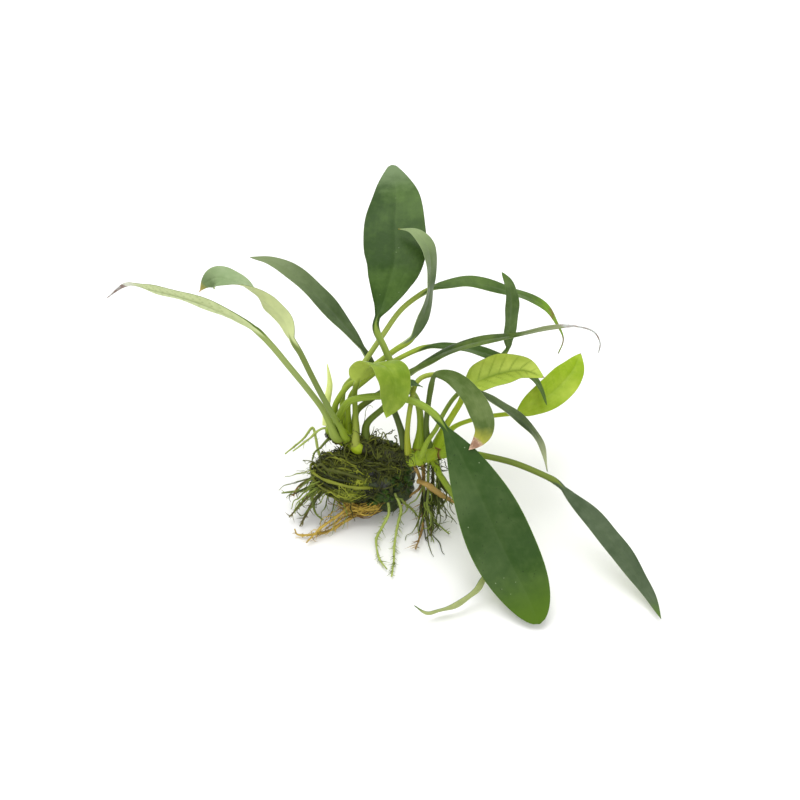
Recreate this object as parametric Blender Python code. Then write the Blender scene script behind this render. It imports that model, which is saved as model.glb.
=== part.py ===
"""An anubias grown onto a stone: stone, rhizome, leaves on their stalks, and roots.

X runs to the right of the plant, Y to its back and Z up. The origin is the middle of the stone's flat
underside. Lengths below are in millimetres, and every mesh is written in metres.
"""

import bmesh
import bpy
import numpy as np
from mathutils import Vector

for old in list(bpy.data.objects):
    bpy.data.objects.remove(old, do_unlink=True)

MM = 0.001

# Driving dimensions
GAP = 0.3  # clear space between neighbouring pieces
STONE_CENTRE, STONE_HALF = (2, 0, 14), (20, 19, 20)
MAT_CENTRE, MAT_HALF = (-9, -6, 21), (16, 11.5, 11.5)
RHIZOME_R, RHIZOME_END_R = 4.3, 3.6
KNOB_R, KNOB_END_R = 4.4, 4.0
BLADE_EDGE_R = 0.4  # half the thickness of a leaf blade
SHEATH_FLARE = 1.25  # a stalk's radius where it leaves the rhizome, over its own
SHEATH_FADE = 8.0  # the length over which that flare dies away
RING_SIDES = 8
STALK_RINGS, BLADE_RINGS = 6, 13
ROOT_TIP_R = 0.5
ROOT_POINTS = 8

plant = bpy.data.collections.new("anubias_on_stone")
cutters = bpy.data.collections.new("cutters")
bpy.context.scene.collection.children.link(plant)
bpy.context.scene.collection.children.link(cutters)


def material(name, colour, roughness):
    made = bpy.data.materials.new(name)
    made.use_nodes = True
    shader = made.node_tree.nodes["Principled BSDF"]
    shader.inputs["Base Color"].default_value = (*colour, 1)
    shader.inputs["Roughness"].default_value = roughness
    shader.inputs["Metallic"].default_value = 0
    made.diffuse_color = (*colour, 1)
    return made


DARK_STONE = material("dark_stone", (0.035, 0.04, 0.025), 0.85)
ROOT_TANGLE = material("root_tangle", (0.22, 0.24, 0.07), 0.8)
RHIZOME_GREEN = material("rhizome_green", (0.2, 0.26, 0.05), 0.6)
DARK_LEAF = material("dark_leaf", (0.05, 0.11, 0.03), 0.38)
YOUNG_LEAF = material("young_leaf", (0.33, 0.45, 0.05), 0.42)
ROOT_GREEN = material("root_green", (0.2, 0.25, 0.08), 0.7)
ROOT_GOLDEN = material("root_golden", (0.42, 0.29, 0.07), 0.7)
ROOT_BROWN = material("root_brown", (0.14, 0.1, 0.05), 0.8)


def spline(points, count):
    """A smooth curve through the points, read at evenly spaced lengths."""
    points = np.array(points, float)
    ends = np.array([2 * points[0] - points[1], *points, 2 * points[-1] - points[-2]])
    fine = []
    for a, b, c, d in zip(ends, ends[1:], ends[2:], ends[3:]):
        t = np.linspace(0, 1, 24, endpoint=False)[:, None]
        bend, twist = 2 * a - 5 * b + 4 * c - d, 3 * b - 3 * c + d - a
        fine.append(0.5 * (2 * b + (c - a) * t + bend * t**2 + twist * t**3))
    fine = np.vstack([*fine, ends[-2:-1]])
    run = np.concatenate([[0], np.cumsum(np.linalg.norm(np.diff(fine, axis=0), axis=1))])
    return at_lengths(fine, run, np.linspace(0, run[-1], count))


def at_lengths(path, run, lengths):
    return np.stack([np.interp(lengths, run, path[:, k]) for k in range(3)], axis=1)


def unit(vectors):
    return vectors / np.linalg.norm(vectors, axis=-1, keepdims=True)


def place(name, points, faces, surface, collection=plant):
    mesh = bpy.data.meshes.new(name)
    mesh.from_pydata([tuple(p * MM) for p in points], [], faces)
    mesh.materials.append(surface)
    return place_mesh(name, mesh, collection)


def place_mesh(name, mesh, collection=plant):
    mesh.shade_smooth()
    mesh.set_sharp_from_angle(angle=0.9)
    obj = bpy.data.objects.new(name, mesh)
    collection.objects.link(obj)
    if collection is cutters:
        obj.hide_render = True
        obj.display_type = "WIRE"
    return obj


def combine(obj, other, operation="DIFFERENCE"):
    modifier = obj.modifiers.new(operation.lower(), "BOOLEAN")
    modifier.operation = operation
    modifier.solver = "EXACT"
    modifier.object = other


def lump(name, centre, half, seed, surface, grow=0.0, floor=None, detail=4, collection=plant):
    """An uneven rounded lump: a sphere stretched to its half sizes, with slow waves on it and its upper back
    drawn in."""
    bm = bmesh.new()
    bmesh.ops.create_icosphere(bm, subdivisions=detail, radius=1)
    for vert in bm.verts:
        x, y, z = vert.co
        wave = 1 + 0.05 * np.sin(3.1 * x + 2.3 * y + 0.5 + seed)
        wave += 0.04 * np.sin(4.7 * y - 3.7 * z + 1.9 + seed)
        wave += 0.025 * np.sin(7.9 * x - 5.3 * z + 0.7 * seed) - 0.25 * max(y, 0) * max(z, 0)
        vert.co = Vector([c + d * (h * wave + grow) for c, d, h in zip(centre, (x, y, z), half)]) * MM
    if floor is not None:
        cut = bmesh.ops.bisect_plane(
            bm, geom=[*bm.verts, *bm.edges, *bm.faces], plane_co=(0, 0, floor * MM), plane_no=(0, 0, -1),
            clear_outer=True,
        )
        rim = [edge for edge in cut["geom_cut"] if isinstance(edge, bmesh.types.BMEdge)]
        bmesh.ops.edgeloop_fill(bm, edges=rim)
    bmesh.ops.recalc_face_normals(bm, faces=bm.faces)
    mesh = bpy.data.meshes.new(name)
    bm.to_mesh(mesh)
    bm.free()
    mesh.materials.append(surface)
    return place_mesh(name, mesh, collection)


def tube(name, points, radii, count, surface, grow=0.0, collection=plant, sides=6):
    """A round tapered tube along a smooth route, made a closed mesh."""
    route = spline(points, count)
    curve = bpy.data.curves.new(name, "CURVE")
    curve.dimensions = "3D"
    curve.bevel_depth = MM
    curve.bevel_resolution = (sides - 4) // 2
    curve.use_fill_caps = True
    line = curve.splines.new("POLY")
    line.points.add(count - 1)
    thickness = np.interp(np.linspace(0, 1, count), np.linspace(0, 1, len(radii)), radii)
    for point, place_at, r in zip(line.points, route, thickness):
        point.co = (*(place_at * MM), 1)
        point.radius = r + grow
    guide = bpy.data.objects.new(name + "_route", curve)
    cutters.objects.link(guide)
    graph = bpy.context.evaluated_depsgraph_get()
    mesh = bpy.data.meshes.new_from_object(guide.evaluated_get(graph))
    mesh.transform(guide.matrix_world)
    mesh.name = name
    bpy.data.objects.remove(guide, do_unlink=True)
    bm = bmesh.new()
    bm.from_mesh(mesh)
    bmesh.ops.remove_doubles(bm, verts=bm.verts, dist=1e-6)
    bmesh.ops.recalc_face_normals(bm, faces=bm.faces)
    bm.to_mesh(mesh)
    bm.free()
    mesh.materials.clear()
    mesh.materials.append(surface)
    return place_mesh(name, mesh, collection)


# Stone: one dark water-worn stone, on a flat underside that it rests on.
lump("stone", STONE_CENTRE, STONE_HALF, 0, DARK_STONE, floor=0)
stone_space = lump("stone_space", STONE_CENTRE, STONE_HALF, 0, DARK_STONE, grow=GAP, collection=cutters)

# Root mat: the old roots that have felted together over the stone's upper left side.
root_mat = lump("root_mat", MAT_CENTRE, MAT_HALF, 2, ROOT_TANGLE, detail=3)
combine(root_mat, stone_space)
mat_space = lump("mat_space", MAT_CENTRE, MAT_HALF, 2, ROOT_TANGLE, grow=GAP, detail=3, collection=cutters)

# Rhizome: the creeping stem that lies over the stone, with the short branch that grows from its front.
RHIZOME = [(-19, 8, 40.5), (-15.5, 5, 40), (-10.5, 2, 39), (-5, 0, 38), (0, -2.5, 37.3), (8.5, -5.5, 36.3),
           (17, -8.5, 36.3), (25.5, -9.5, 37.5), (33.5, -6.5, 38.5), (37.5, -4, 39.5)]
BRANCH = [(-3, -1, 38), (-5, -6.4, 37.5)]
STEM_RADII = [RHIZOME_END_R, *[RHIZOME_R] * 8, RHIZOME_END_R]
BRANCH_RADII = [KNOB_R, KNOB_END_R]


def stem(name, grow, collection):
    made = tube(name, RHIZOME, STEM_RADII, 14, RHIZOME_GREEN, grow, collection, sides=10)
    branch = tube(name + "_branch", BRANCH, BRANCH_RADII, 3, RHIZOME_GREEN, grow, cutters, sides=10)
    combine(made, branch, "UNION")
    return made


rhizome = stem("rhizome", 0, plant)
combine(rhizome, stone_space)
combine(rhizome, mat_space)
stem_space = stem("rhizome_space", GAP, cutters)


# Leaves: each is one piece, a round stalk that rises from the rhizome and flattens into its blade.
# face holds the way the blade's upper side looks, at fractions of the blade's length.
def leaf(name, surface, width, widest, ends, fold, r, stalk, blade, face, blunt=1.0):
    path = spline([*stalk, *blade], 400)
    run = np.concatenate([[0], np.cumsum(np.linalg.norm(np.diff(path, axis=0), axis=1))])
    base = run[np.argmin(np.linalg.norm(path - np.array(stalk[-1]), axis=1))]
    lengths = np.concatenate([
        np.linspace(0, base, STALK_RINGS, endpoint=False), np.linspace(base, run[-1], BLADE_RINGS)
    ])
    centre = at_lengths(path, run, lengths)
    along = unit(at_lengths(path, run, lengths + 0.5) - at_lengths(path, run, lengths - 0.5))
    b = np.clip((lengths - base) / (run[-1] - base), 0, 1)
    fractions, ways = [at for at, _ in face], np.array([way for _, way in face], float)
    up = at_lengths(ways, fractions, b)
    up = unit(up - (up * along).sum(axis=1, keepdims=True) * along)
    side = np.cross(along, up)

    before = b < widest
    from_widest = np.where(before, (widest - b) / widest, blunt * (b - widest) / (1 - widest))
    outline = np.maximum(1 - from_widest**2, 0) ** np.where(before, ends[0], ends[1])
    stalk_r = r * (1 + (SHEATH_FLARE - 1) * np.exp(-lengths / SHEATH_FADE))
    on_blade = b > 0
    neck = 0.5 + (r - 0.5) * np.clip(1 - 2.2 * b, 0, 1)
    half = np.where(on_blade, np.maximum(width / 2 * outline, neck), stalk_r)
    thick = np.where(on_blade, BLADE_EDGE_R + (r - BLADE_EDGE_R) * np.clip(1 - 3 * b, 0, 1), stalk_r)
    trough = np.tan(np.radians(fold)) * np.clip(8 * b, 0, 1)

    turn = 2 * np.pi * np.arange(RING_SIDES) / RING_SIDES
    across = half[:, None] * np.cos(turn)
    rise = thick[:, None] * np.sin(turn) + trough[:, None] * abs(across)
    rings = centre[:, None] + side[:, None] * across[..., None] + up[:, None] * rise[..., None]

    # The upper and the lower face are cut into triangles along the same diagonals, so that a twist stays thin.
    count = len(rings)
    faces = []
    for i in range(count - 1):
        for j in range(RING_SIDES):
            k = (j + 1) % RING_SIDES
            a, b = i * RING_SIDES + j, (i + 1) * RING_SIDES + j
            c, d = (i + 1) * RING_SIDES + k, i * RING_SIDES + k
            faces += [(a, b, c), (a, c, d)] if j < RING_SIDES // 2 else [(a, b, d), (b, c, d)]
    faces.append(tuple(range(RING_SIDES)))
    faces.append(tuple((count - 1) * RING_SIDES + j for j in reversed(range(RING_SIDES))))
    combine(place(name, rings.reshape(-1, 3), faces, surface), stem_space)


leaf("leaf_far_left", DARK_LEAF, width=12, widest=0.35, ends=(0.6, 1), fold=5, r=1.5,
     stalk=[(-13, 0.5, 39.5), (-14.8, -1.5, 44), (-16.5, -1, 49.5), (-20.5, 3, 57.5), (-28, 7, 68),
            (-36.5, 11, 79), (-44, 15, 88), (-51, 19, 94)],
     blade=[(-58.5, 21.5, 98), (-71.5, 27, 101), (-88, 37, 99), (-104, 50, 92), (-117.5, 62.5, 84),
            (-129, 64, 74)],
     face=[(0, (0.5, 0.8, 0.1)), (0.5, (0.5, 0.8, 0.4)), (0.8, (0.4, 0.8, 0.5)), (1, (-0.5, 0.6, 0.6))])
leaf("leaf_left_twisted", DARK_LEAF, width=14, widest=0.76, ends=(0.5, 1), fold=2, r=1.4,
     stalk=[(-8.5, 0.5, 39), (-10, -3, 45), (-12.5, -2.5, 52), (-16, -2, 60), (-21.5, 2.5, 70),
            (-26, 5.5, 80), (-30, 8.5, 89), (-33.5, 11, 95)],
     blade=[(-36.5, 17, 101), (-41, 20.5, 105), (-47, 24.5, 108), (-52.5, 29.5, 109), (-58.5, 35, 109),
            (-64.5, 39, 108), (-70.5, 42.5, 106), (-75.5, 43.5, 102), (-79.5, 42, 97)],
     face=[(0, (0.35, 0.75, -0.4)), (0.3, (0.3, 0.8, -0.05)), (0.5, (0.3, 0.7, 0.6)), (0.64, (0.2, 0.2, 0.95)),
           (0.76, (0.15, -0.3, 0.9)), (0.88, (0.1, -0.7, 0.7)), (1, (0, -0.7, 0.7))])
leaf("leaf_upper_left", DARK_LEAF, width=12, widest=0.45, ends=(0.9, 0.9), fold=5, r=1.5,
     stalk=[(19.5, -7.5, 38.5), (17, -2, 48), (13, 7.5, 54), (8, 20, 58), (0, 28.5, 70)],
     blade=[(-9.5, 34.5, 82), (-20.5, 40, 94), (-32, 48, 102), (-45, 54.5, 106), (-56, 61, 103)],
     face=[(0, (0.6, -0.3, 0.7)), (0.5, (0.5, -0.2, 0.8)), (1, (-0.2, 0.1, 1))])
leaf("leaf_top_broad", DARK_LEAF, width=30.5, widest=0.45, ends=(1.5, 0.9), fold=1, r=1.6, blunt=0.96,
     stalk=[(26, -8, 39.5), (26.5, -1.5, 49), (25, 4.5, 60), (19.5, 10, 67), (12.5, 15.5, 76), (9, 19, 83),
            (5, 26, 90)],
     blade=[(8.5, 35.5, 96), (11.5, 43.5, 103), (14, 53, 109), (14, 70, 115.5), (14.5, 88, 119.5),
            (12.5, 111.5, 120)],
     face=[(0, (0, -0.6, 0.8)), (0.5, (0, -0.3, 0.9)), (1, (-0.1, 0, 1))])
leaf("leaf_hooked", DARK_LEAF, width=11, widest=0.58, ends=(0.6, 1.3), fold=5, r=1.4,
     stalk=[(-15.5, 5, 40), (-15, 9, 45), (-14.5, 10.5, 53), (-9, 14.5, 61), (-3.5, 14.5, 66), (4.5, 18, 72),
            (14, 22.5, 77.5), (21.5, 24, 83)],
     blade=[(25.5, 28, 88), (29.5, 35, 96), (31, 42, 105), (31, 47, 113), (29, 51.5, 119), (23, 58, 121.5),
            (15.5, 64, 118)],
     face=[(0, (0.4, -0.9, 0.1)), (0.18, (0.6, -0.7, 0.3)), (0.38, (1, -0.2, 0.1)), (0.6, (0.8, -0.4, 0.4)),
           (1, (-0.3, 0.3, 0.9))])
leaf("leaf_long_arch", DARK_LEAF, width=9, widest=0.28, ends=(0.8, 1.6), fold=4, r=1.3,
     stalk=[(-11.5, 3, 39.5), (-11.5, 10, 43), (-11.5, 17, 50), (-10, 19, 57), (-5, 19.5, 64), (1, 23.5, 72),
            (8, 30, 80), (17.5, 40.5, 88), (30, 50.5, 91)],
     blade=[(40.5, 54, 92), (51.5, 55.5, 92), (68, 54, 88), (80, 55, 82), (88.5, 54.5, 76), (93.5, 50, 70),
            (97, 46, 63), (94.5, 41.5, 57)],
     face=[(0, (-0.2, 0, 1)), (0.25, (0.1, 0, 1)), (0.5, (0.3, 0.1, 0.9)), (0.75, (0.7, -0.3, 0.7)),
           (1, (0.7, -0.7, 0.2))])
leaf("leaf_small_upright", DARK_LEAF, width=8, widest=0.55, ends=(0.7, 0.8), fold=6, r=1.1,
     stalk=[(26, -9.8, 37.5), (27, -13, 43), (29.5, -11, 49.5), (34, -3.5, 51), (37.5, 4.5, 53),
            (44, 16, 54), (56.5, 24.5, 60), (68, 33, 67)],
     blade=[(69, 34, 75), (70, 38, 84), (70, 41, 93), (68.5, 44.5, 100), (65, 49, 104)],
     face=[(0, (0.3, -0.9, 0.3)), (0.5, (0.5, -0.8, 0.2)), (1, (0.4, -0.4, 0.8))])
leaf("leaf_long_right", DARK_LEAF, width=9, widest=0.22, ends=(0.7, 1.4), fold=4, r=1.5,
     stalk=[(-5, 0, 39), (-5, 3.5, 44), (-4.5, 8.5, 50), (2, 10.5, 56), (8.5, 12.5, 60), (15.5, 15.5, 64),
            (22.5, 18, 68)],
     blade=[(31, 22, 71), (40.5, 23, 77), (54.5, 23, 83), (73.5, 23.5, 87), (88, 28, 87), (99, 31.5, 85),
            (109, 33.5, 80), (113, 32, 74), (112.5, 29.5, 69)],
     face=[(0, (-0.5, 0.2, 0.9)), (0.2, (-0.5, 0.2, 0.9)), (0.6, (-0.1, 0.4, 0.9)), (0.8, (0.2, 0.5, 0.9)),
           (1, (0.7, -0.7, 0.2))])
leaf("leaf_thin_right", DARK_LEAF, width=8, widest=0.4, ends=(0.8, 0.7), fold=6, r=1.2,
     stalk=[(-8.5, 1.5, 39.5), (-8.5, 6.5, 44.5), (-8.5, 12.5, 51), (-6, 16.5, 56), (0, 19, 61),
            (7, 20.5, 67), (13.5, 23, 70), (28.5, 30.5, 72)],
     blade=[(43, 33, 70), (58, 36, 63), (72.5, 32.5, 59), (81, 25.5, 57), (85, 18.5, 55), (87.5, 12, 51)],
     face=[(0, (0, 0.1, 1)), (0.5, (0.3, 0.1, 1)), (1, (0.7, -0.2, 0.7))])
leaf("leaf_yellow_upper", YOUNG_LEAF, width=19, widest=0.42, ends=(0.45, 1), fold=20, r=1.5,
     stalk=[(34, -7, 40), (37.5, 0, 46), (41.5, 4.5, 51), (45.5, 8, 57), (48.5, 12, 62)],
     blade=[(54.5, 13.5, 66), (64.5, 15.5, 69), (75, 16.5, 70), (85.5, 12.5, 69)],
     face=[(0, (-0.6, -0.3, 0.8)), (0.5, (-0.1, -0.1, 1)), (1, (0.1, -0.1, 1))])
leaf("leaf_yellow_right", YOUNG_LEAF, width=16, widest=0.5, ends=(0.6, 0.95), fold=6, r=1.1,
     stalk=[(37.5, -3, 40), (42, 8, 39), (51, 13.5, 39), (61.5, 14.5, 41), (73.5, 15, 43)],
     blade=[(81.5, 17.5, 46), (91.5, 23.5, 49), (100.5, 33.5, 52), (106.5, 46.5, 53)],
     face=[(0, (-0.1, -0.6, 0.8)), (0.5, (0.1, -0.4, 0.9)), (1, (0.2, -0.2, 1))])
leaf("leaf_folded_lime", YOUNG_LEAF, width=19, widest=0.4, ends=(0.4, 0.95), fold=8, r=1.3,
     stalk=[(-4.5, -4, 37.5), (-4.8, -3.5, 42.5), (-4.8, -1, 48), (-5, 4.5, 56), (-5, 7.5, 65),
            (-3.5, 7, 73)],
     blade=[(-1.5, 7, 78), (1.5, 6.5, 83), (5.5, 4.5, 86), (10.5, 0.5, 87), (13.5, -4.5, 84.5),
            (13.5, -9, 77), (10, -10.5, 65)],
     face=[(0, (-0.3, 0.9, 0)), (0.2, (-0.3, 0.8, 0.3)), (0.42, (0, 0.5, 0.8)), (0.62, (0.4, -0.4, 0.8)),
           (0.8, (0.1, -0.9, 0.4)), (1, (0, -1, 0.2))])
leaf("leaf_brown_tipped", DARK_LEAF, width=11, widest=0.57, ends=(0.75, 0.9), fold=5, r=1.3,
     stalk=[(30.5, -7.5, 39), (29, -4.5, 53), (30, 0.5, 64), (31.5, 5, 72.5)],
     blade=[(33, 6, 77), (36.5, 4, 79.3), (41, 2, 79), (46, -1.5, 77), (50.5, -6, 73.5), (53.5, -10, 70),
            (55.5, -14, 66.5), (55.5, -17.5, 63), (53, -20.5, 60), (48.5, -24, 57.5)],
     face=[(0, (0, -0.7, 0.7)), (0.5, (0.4, -0.6, 0.6)), (1, (-0.2, -0.8, 0.5))])
leaf("leaf_big_front", DARK_LEAF, width=31, widest=0.6, ends=(1.1, 0.55), fold=3, r=1.7,
     stalk=[(-13.2, 4.3, 40), (-13.5, 3.5, 46), (-12, 3.5, 54), (-7, 3, 63), (5, 1, 68), (16.5, -2, 70),
            (27.5, -6.5, 69), (35.5, -12, 64)],
     blade=[(44.5, -24, 55), (54.5, -40.5, 42), (64.5, -54.5, 24), (75, -70.5, 11), (81.5, -83.5, 3)],
     face=[(0, (0.1, -0.6, 0.8)), (0.5, (0.1, -0.8, 0.6)), (1, (-0.1, -0.5, 0.8))])
leaf("leaf_front_right_narrow", DARK_LEAF, width=7, widest=0.4, ends=(1, 1), fold=4, r=1.2,
     stalk=[(20.5, -10.5, 38.5), (20, -7, 52), (21.5, -3, 66), (24.5, 7.5, 71), (31.5, 11.5, 72),
            (41, 10, 71), (51.5, 4, 70)],
     blade=[(60, -1, 68), (66.5, -4, 65), (74, -7, 60), (80, -9.5, 54), (84.5, -12.5, 46), (87, -17, 35)],
     face=[(0, (0.2, 0.1, 1)), (0.5, (0.6, -0.1, 0.8)), (1, (0.8, -0.5, 0.4))])
leaf("leaf_far_right", DARK_LEAF, width=12.5, widest=0.45, ends=(0.8, 0.9), fold=3, r=1.5,
     stalk=[(35.5, -7.5, 39), (44, -10, 42), (56.5, -14, 43), (71, -17, 41), (85.5, -20.5, 36),
            (92, -23, 33)],
     blade=[(99.5, -30, 29), (108.5, -37.5, 24), (115.5, -45, 19), (122.5, -52.5, 14), (128.5, -60.5, 9),
            (134, -69, 5), (138, -80.5, 3)],
     face=[(0, (0.1, -0.4, 0.9)), (0.5, (0.2, -0.4, 0.9)), (1, (0.1, -0.1, 1))])
leaf("leaf_low_front", DARK_LEAF, width=6, widest=0.4, ends=(0.8, 1), fold=6, r=1.2,
     stalk=[(32, -9, 36), (36.5, -16.5, 30), (46, -31.5, 24), (54.5, -46.5, 16), (57.5, -56, 11)],
     blade=[(54.5, -64, 8), (49.5, -70, 7), (43, -74, 5), (35, -76.5, 4), (29, -78, 4), (23, -76.5, 8)],
     face=[(0, (-0.9, 0.2, -0.5)), (0.5, (-0.5, 0.9, 0.2)), (1, (0.4, 0.9, 0.2))])
leaf("leaf_small_hidden", DARK_LEAF, width=7, widest=0.4, ends=(1, 1), fold=6, r=1.5,
     stalk=[(0.5, -2, 39), (0.5, 2, 48), (8.5, 4, 57), (14, 5, 64)],
     blade=[(18.5, 3.5, 71), (21.5, 3, 74.5), (24.5, 3, 74), (27.5, 4.5, 70.5)],
     face=[(0, (-0.8, -0.1, 0.6)), (0.5, (-0.6, 0, 0.8)), (1, (0.3, 0.4, 0.9))])

# Young shoot: a leaf that is still rolled into a spike, at the rhizome's growing end.
shoot = tube("young_shoot", [(-19, 8.5, 41), (-19, 14, 50), (-17.5, 18.5, 59), (-18.5, 23, 68)],
             [2.0, 1.7, 1.4, ROOT_TIP_R], ROOT_POINTS, YOUNG_LEAF)
combine(shoot, stem_space)


# Main roots: thin round roots that leave the rhizome, the mat and the stone's side, and taper to their tips.
def root(name, surface, r, route):
    made = tube(name, route, [r, r, 0.8 * r, ROOT_TIP_R], ROOT_POINTS, surface)
    for space in (stem_space, stone_space, mat_space):
        combine(made, space)


root("root_front_left", ROOT_GREEN, 0.7,
     [(10, -15, 15), (11, -20.5, 9), (8, -25.5, 5), (5, -31.5, 2.5), (5.5, -38.5, 1.5), (7, -44, 1.5),
      (10.2, -49.5, 1.5)])
root("root_front_right", ROOT_GREEN, 0.7,
     [(14, -13.5, 16), (17, -18, 9), (15.5, -23.5, 5), (14, -32.5, 2), (13.5, -44.5, 1.5),
      (12.5, -54, 1.5)])
root("root_golden_long", ROOT_GOLDEN, 0.9,
     [(4, -16, 11), (-3.5, -18.5, 7), (-11, -22, 4), (-17.5, -25.5, 2), (-24.5, -27.5, 1.5),
      (-33, -28, 1.5), (-35, -25.5, 3)])
root("root_golden_short", ROOT_GOLDEN, 0.8,
     [(-5, -15, 13), (-12, -20.5, 9), (-21.5, -26.5, 5.5), (-29, -33.5, 2)])
root("root_left_loop", ROOT_GREEN, 0.8,
     [(-21, -8, 23), (-25.5, -11, 21.5), (-26.5, -12.5, 16), (-26, -15, 9), (-24.5, -18.5, 6),
      (-21, -21.5, 5)])
root("root_left_dark_long", ROOT_BROWN, 0.9,
     [(-21.5, -8, 16), (-30, -10.5, 8), (-38, -18, 3)])
root("root_left_dark_short", ROOT_BROWN, 0.9,
     [(-17.5, -8, 15), (-26, -10, 6), (-32.5, -23, 2)])
root("root_left_level", ROOT_GREEN, 0.8,
     [(-20, -4, 16), (-29, -7, 11.5), (-42, -6.5, 8)])
root("root_left_brown", ROOT_BROWN, 0.8,
     [(-20, -4.5, 23), (-28, -7, 18.5), (-33.5, -9, 15), (-36, -11, 11)])
root("root_aerial_back", ROOT_GREEN, 0.7,
     [(-15, 4.5, 39.5), (-19.5, 1, 37), (-22, 1, 33), (-25, 1.5, 29), (-26.5, -0.5, 25)])
root("root_aerial_arch", ROOT_GREEN, 0.7,
     [(-21.5, -2.5, 25), (-24, 6.5, 26.5), (-26.5, 16, 31), (-31, 10, 29.5), (-40, 4, 25)])
root("root_aerial_bright", ROOT_GREEN, 0.6,
     [(-17.5, 6.5, 40), (-22, 7, 39.5), (-28.5, 5, 34), (-36, 3, 28)])
root("root_right_brown", ROOT_BROWN, 0.8,
     [(21.5, -7, 34), (24.5, -9.5, 28), (26.5, -10.5, 22), (26, -10.5, 16), (21, -10.5, 10),
      (17.5, -11.5, 4)])
root("root_right_golden", ROOT_GOLDEN, 1.4,
     [(25.5, -12.8, 24), (28, -15.3, 25), (31, -16.8, 24), (34.5, -17, 20.5), (40, -16.5, 15),
      (46.5, -16.5, 9)])
root("root_cluster_brown", ROOT_BROWN, 0.9,
     [(27.5, -9, 36), (28, -12, 22), (27.5, -16, 10), (27.5, -24.5, 3), (24, -37.5, 2)])
root("root_cluster_dark", ROOT_BROWN, 0.9,
     [(32.5, -7.5, 36.5), (32.5, -12, 20), (32, -18, 7.5), (31.5, -29, 2)])
root("root_cluster_green", ROOT_GREEN, 0.7,
     [(30.3, -9.8, 35.5), (30.2, -16.5, 14), (33, -23, 7), (36.5, -25, 4), (40.5, -28, 2)])
root("root_cluster_side", ROOT_GREEN, 0.7,
     [(35, -6, 37.5), (35, -11.5, 16), (36, -16, 9), (39.5, -13, 10), (42.5, -13, 7)])
root("root_loop", ROOT_GREEN, 0.7,
     [(13, -11, 15), (19.5, -15, 9), (22, -15, 6), (25.5, -17, 2)])
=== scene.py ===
"""An anubias grown onto a dark stone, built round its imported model: stone, rhizome, leaves, roots and moss.

X runs to the right of the plant, Y to its back and Z up, with the origin in the middle of the stone's flat
underside. Lengths are in millimetres until a mesh is written, in metres.
"""

from functools import partialmethod

import bpy
import numpy as np
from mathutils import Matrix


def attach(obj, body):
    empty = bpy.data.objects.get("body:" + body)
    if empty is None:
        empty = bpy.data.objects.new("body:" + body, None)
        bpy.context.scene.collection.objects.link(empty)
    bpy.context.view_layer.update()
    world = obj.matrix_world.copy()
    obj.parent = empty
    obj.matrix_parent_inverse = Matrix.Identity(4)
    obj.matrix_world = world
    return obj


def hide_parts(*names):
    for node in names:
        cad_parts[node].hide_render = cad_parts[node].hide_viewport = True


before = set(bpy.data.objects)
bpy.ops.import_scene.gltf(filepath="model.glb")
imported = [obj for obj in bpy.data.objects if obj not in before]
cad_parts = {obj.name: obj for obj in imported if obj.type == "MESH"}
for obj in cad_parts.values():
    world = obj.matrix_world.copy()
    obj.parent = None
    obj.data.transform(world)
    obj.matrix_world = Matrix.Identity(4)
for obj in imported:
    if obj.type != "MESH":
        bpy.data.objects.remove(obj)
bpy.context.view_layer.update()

scene = bpy.context.scene

# Stone: a small water-worn pebble, near black, with algae in its hollows and moss on its damp side.
# Its flat underside is what the whole plant stands on.

MM = 0.001
TURN = 2 * np.pi
rng = np.random.default_rng
STONE = np.array([2, 0, 14]), np.array([20, 19, 20]), 0  # middle, half sizes, seed of its waves
STONE_ROWS, STONE_AROUND = 170, 260


def unit(vectors):
    return vectors / np.linalg.norm(vectors, axis=-1, keepdims=True)


def raised(points, lowest=0):
    """The points, none of them lower than lowest."""
    points[..., 2] = np.maximum(points[..., 2], lowest)
    return points


def stand(name, data, at=(0, 0, 0), turned=(0, 0, 0)):
    """Puts a mesh, a lamp or a camera into the scene."""
    made = bpy.data.objects.new(name, data)
    made.location, made.rotation_euler = at, turned
    scene.collection.objects.link(made)
    return made


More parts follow.
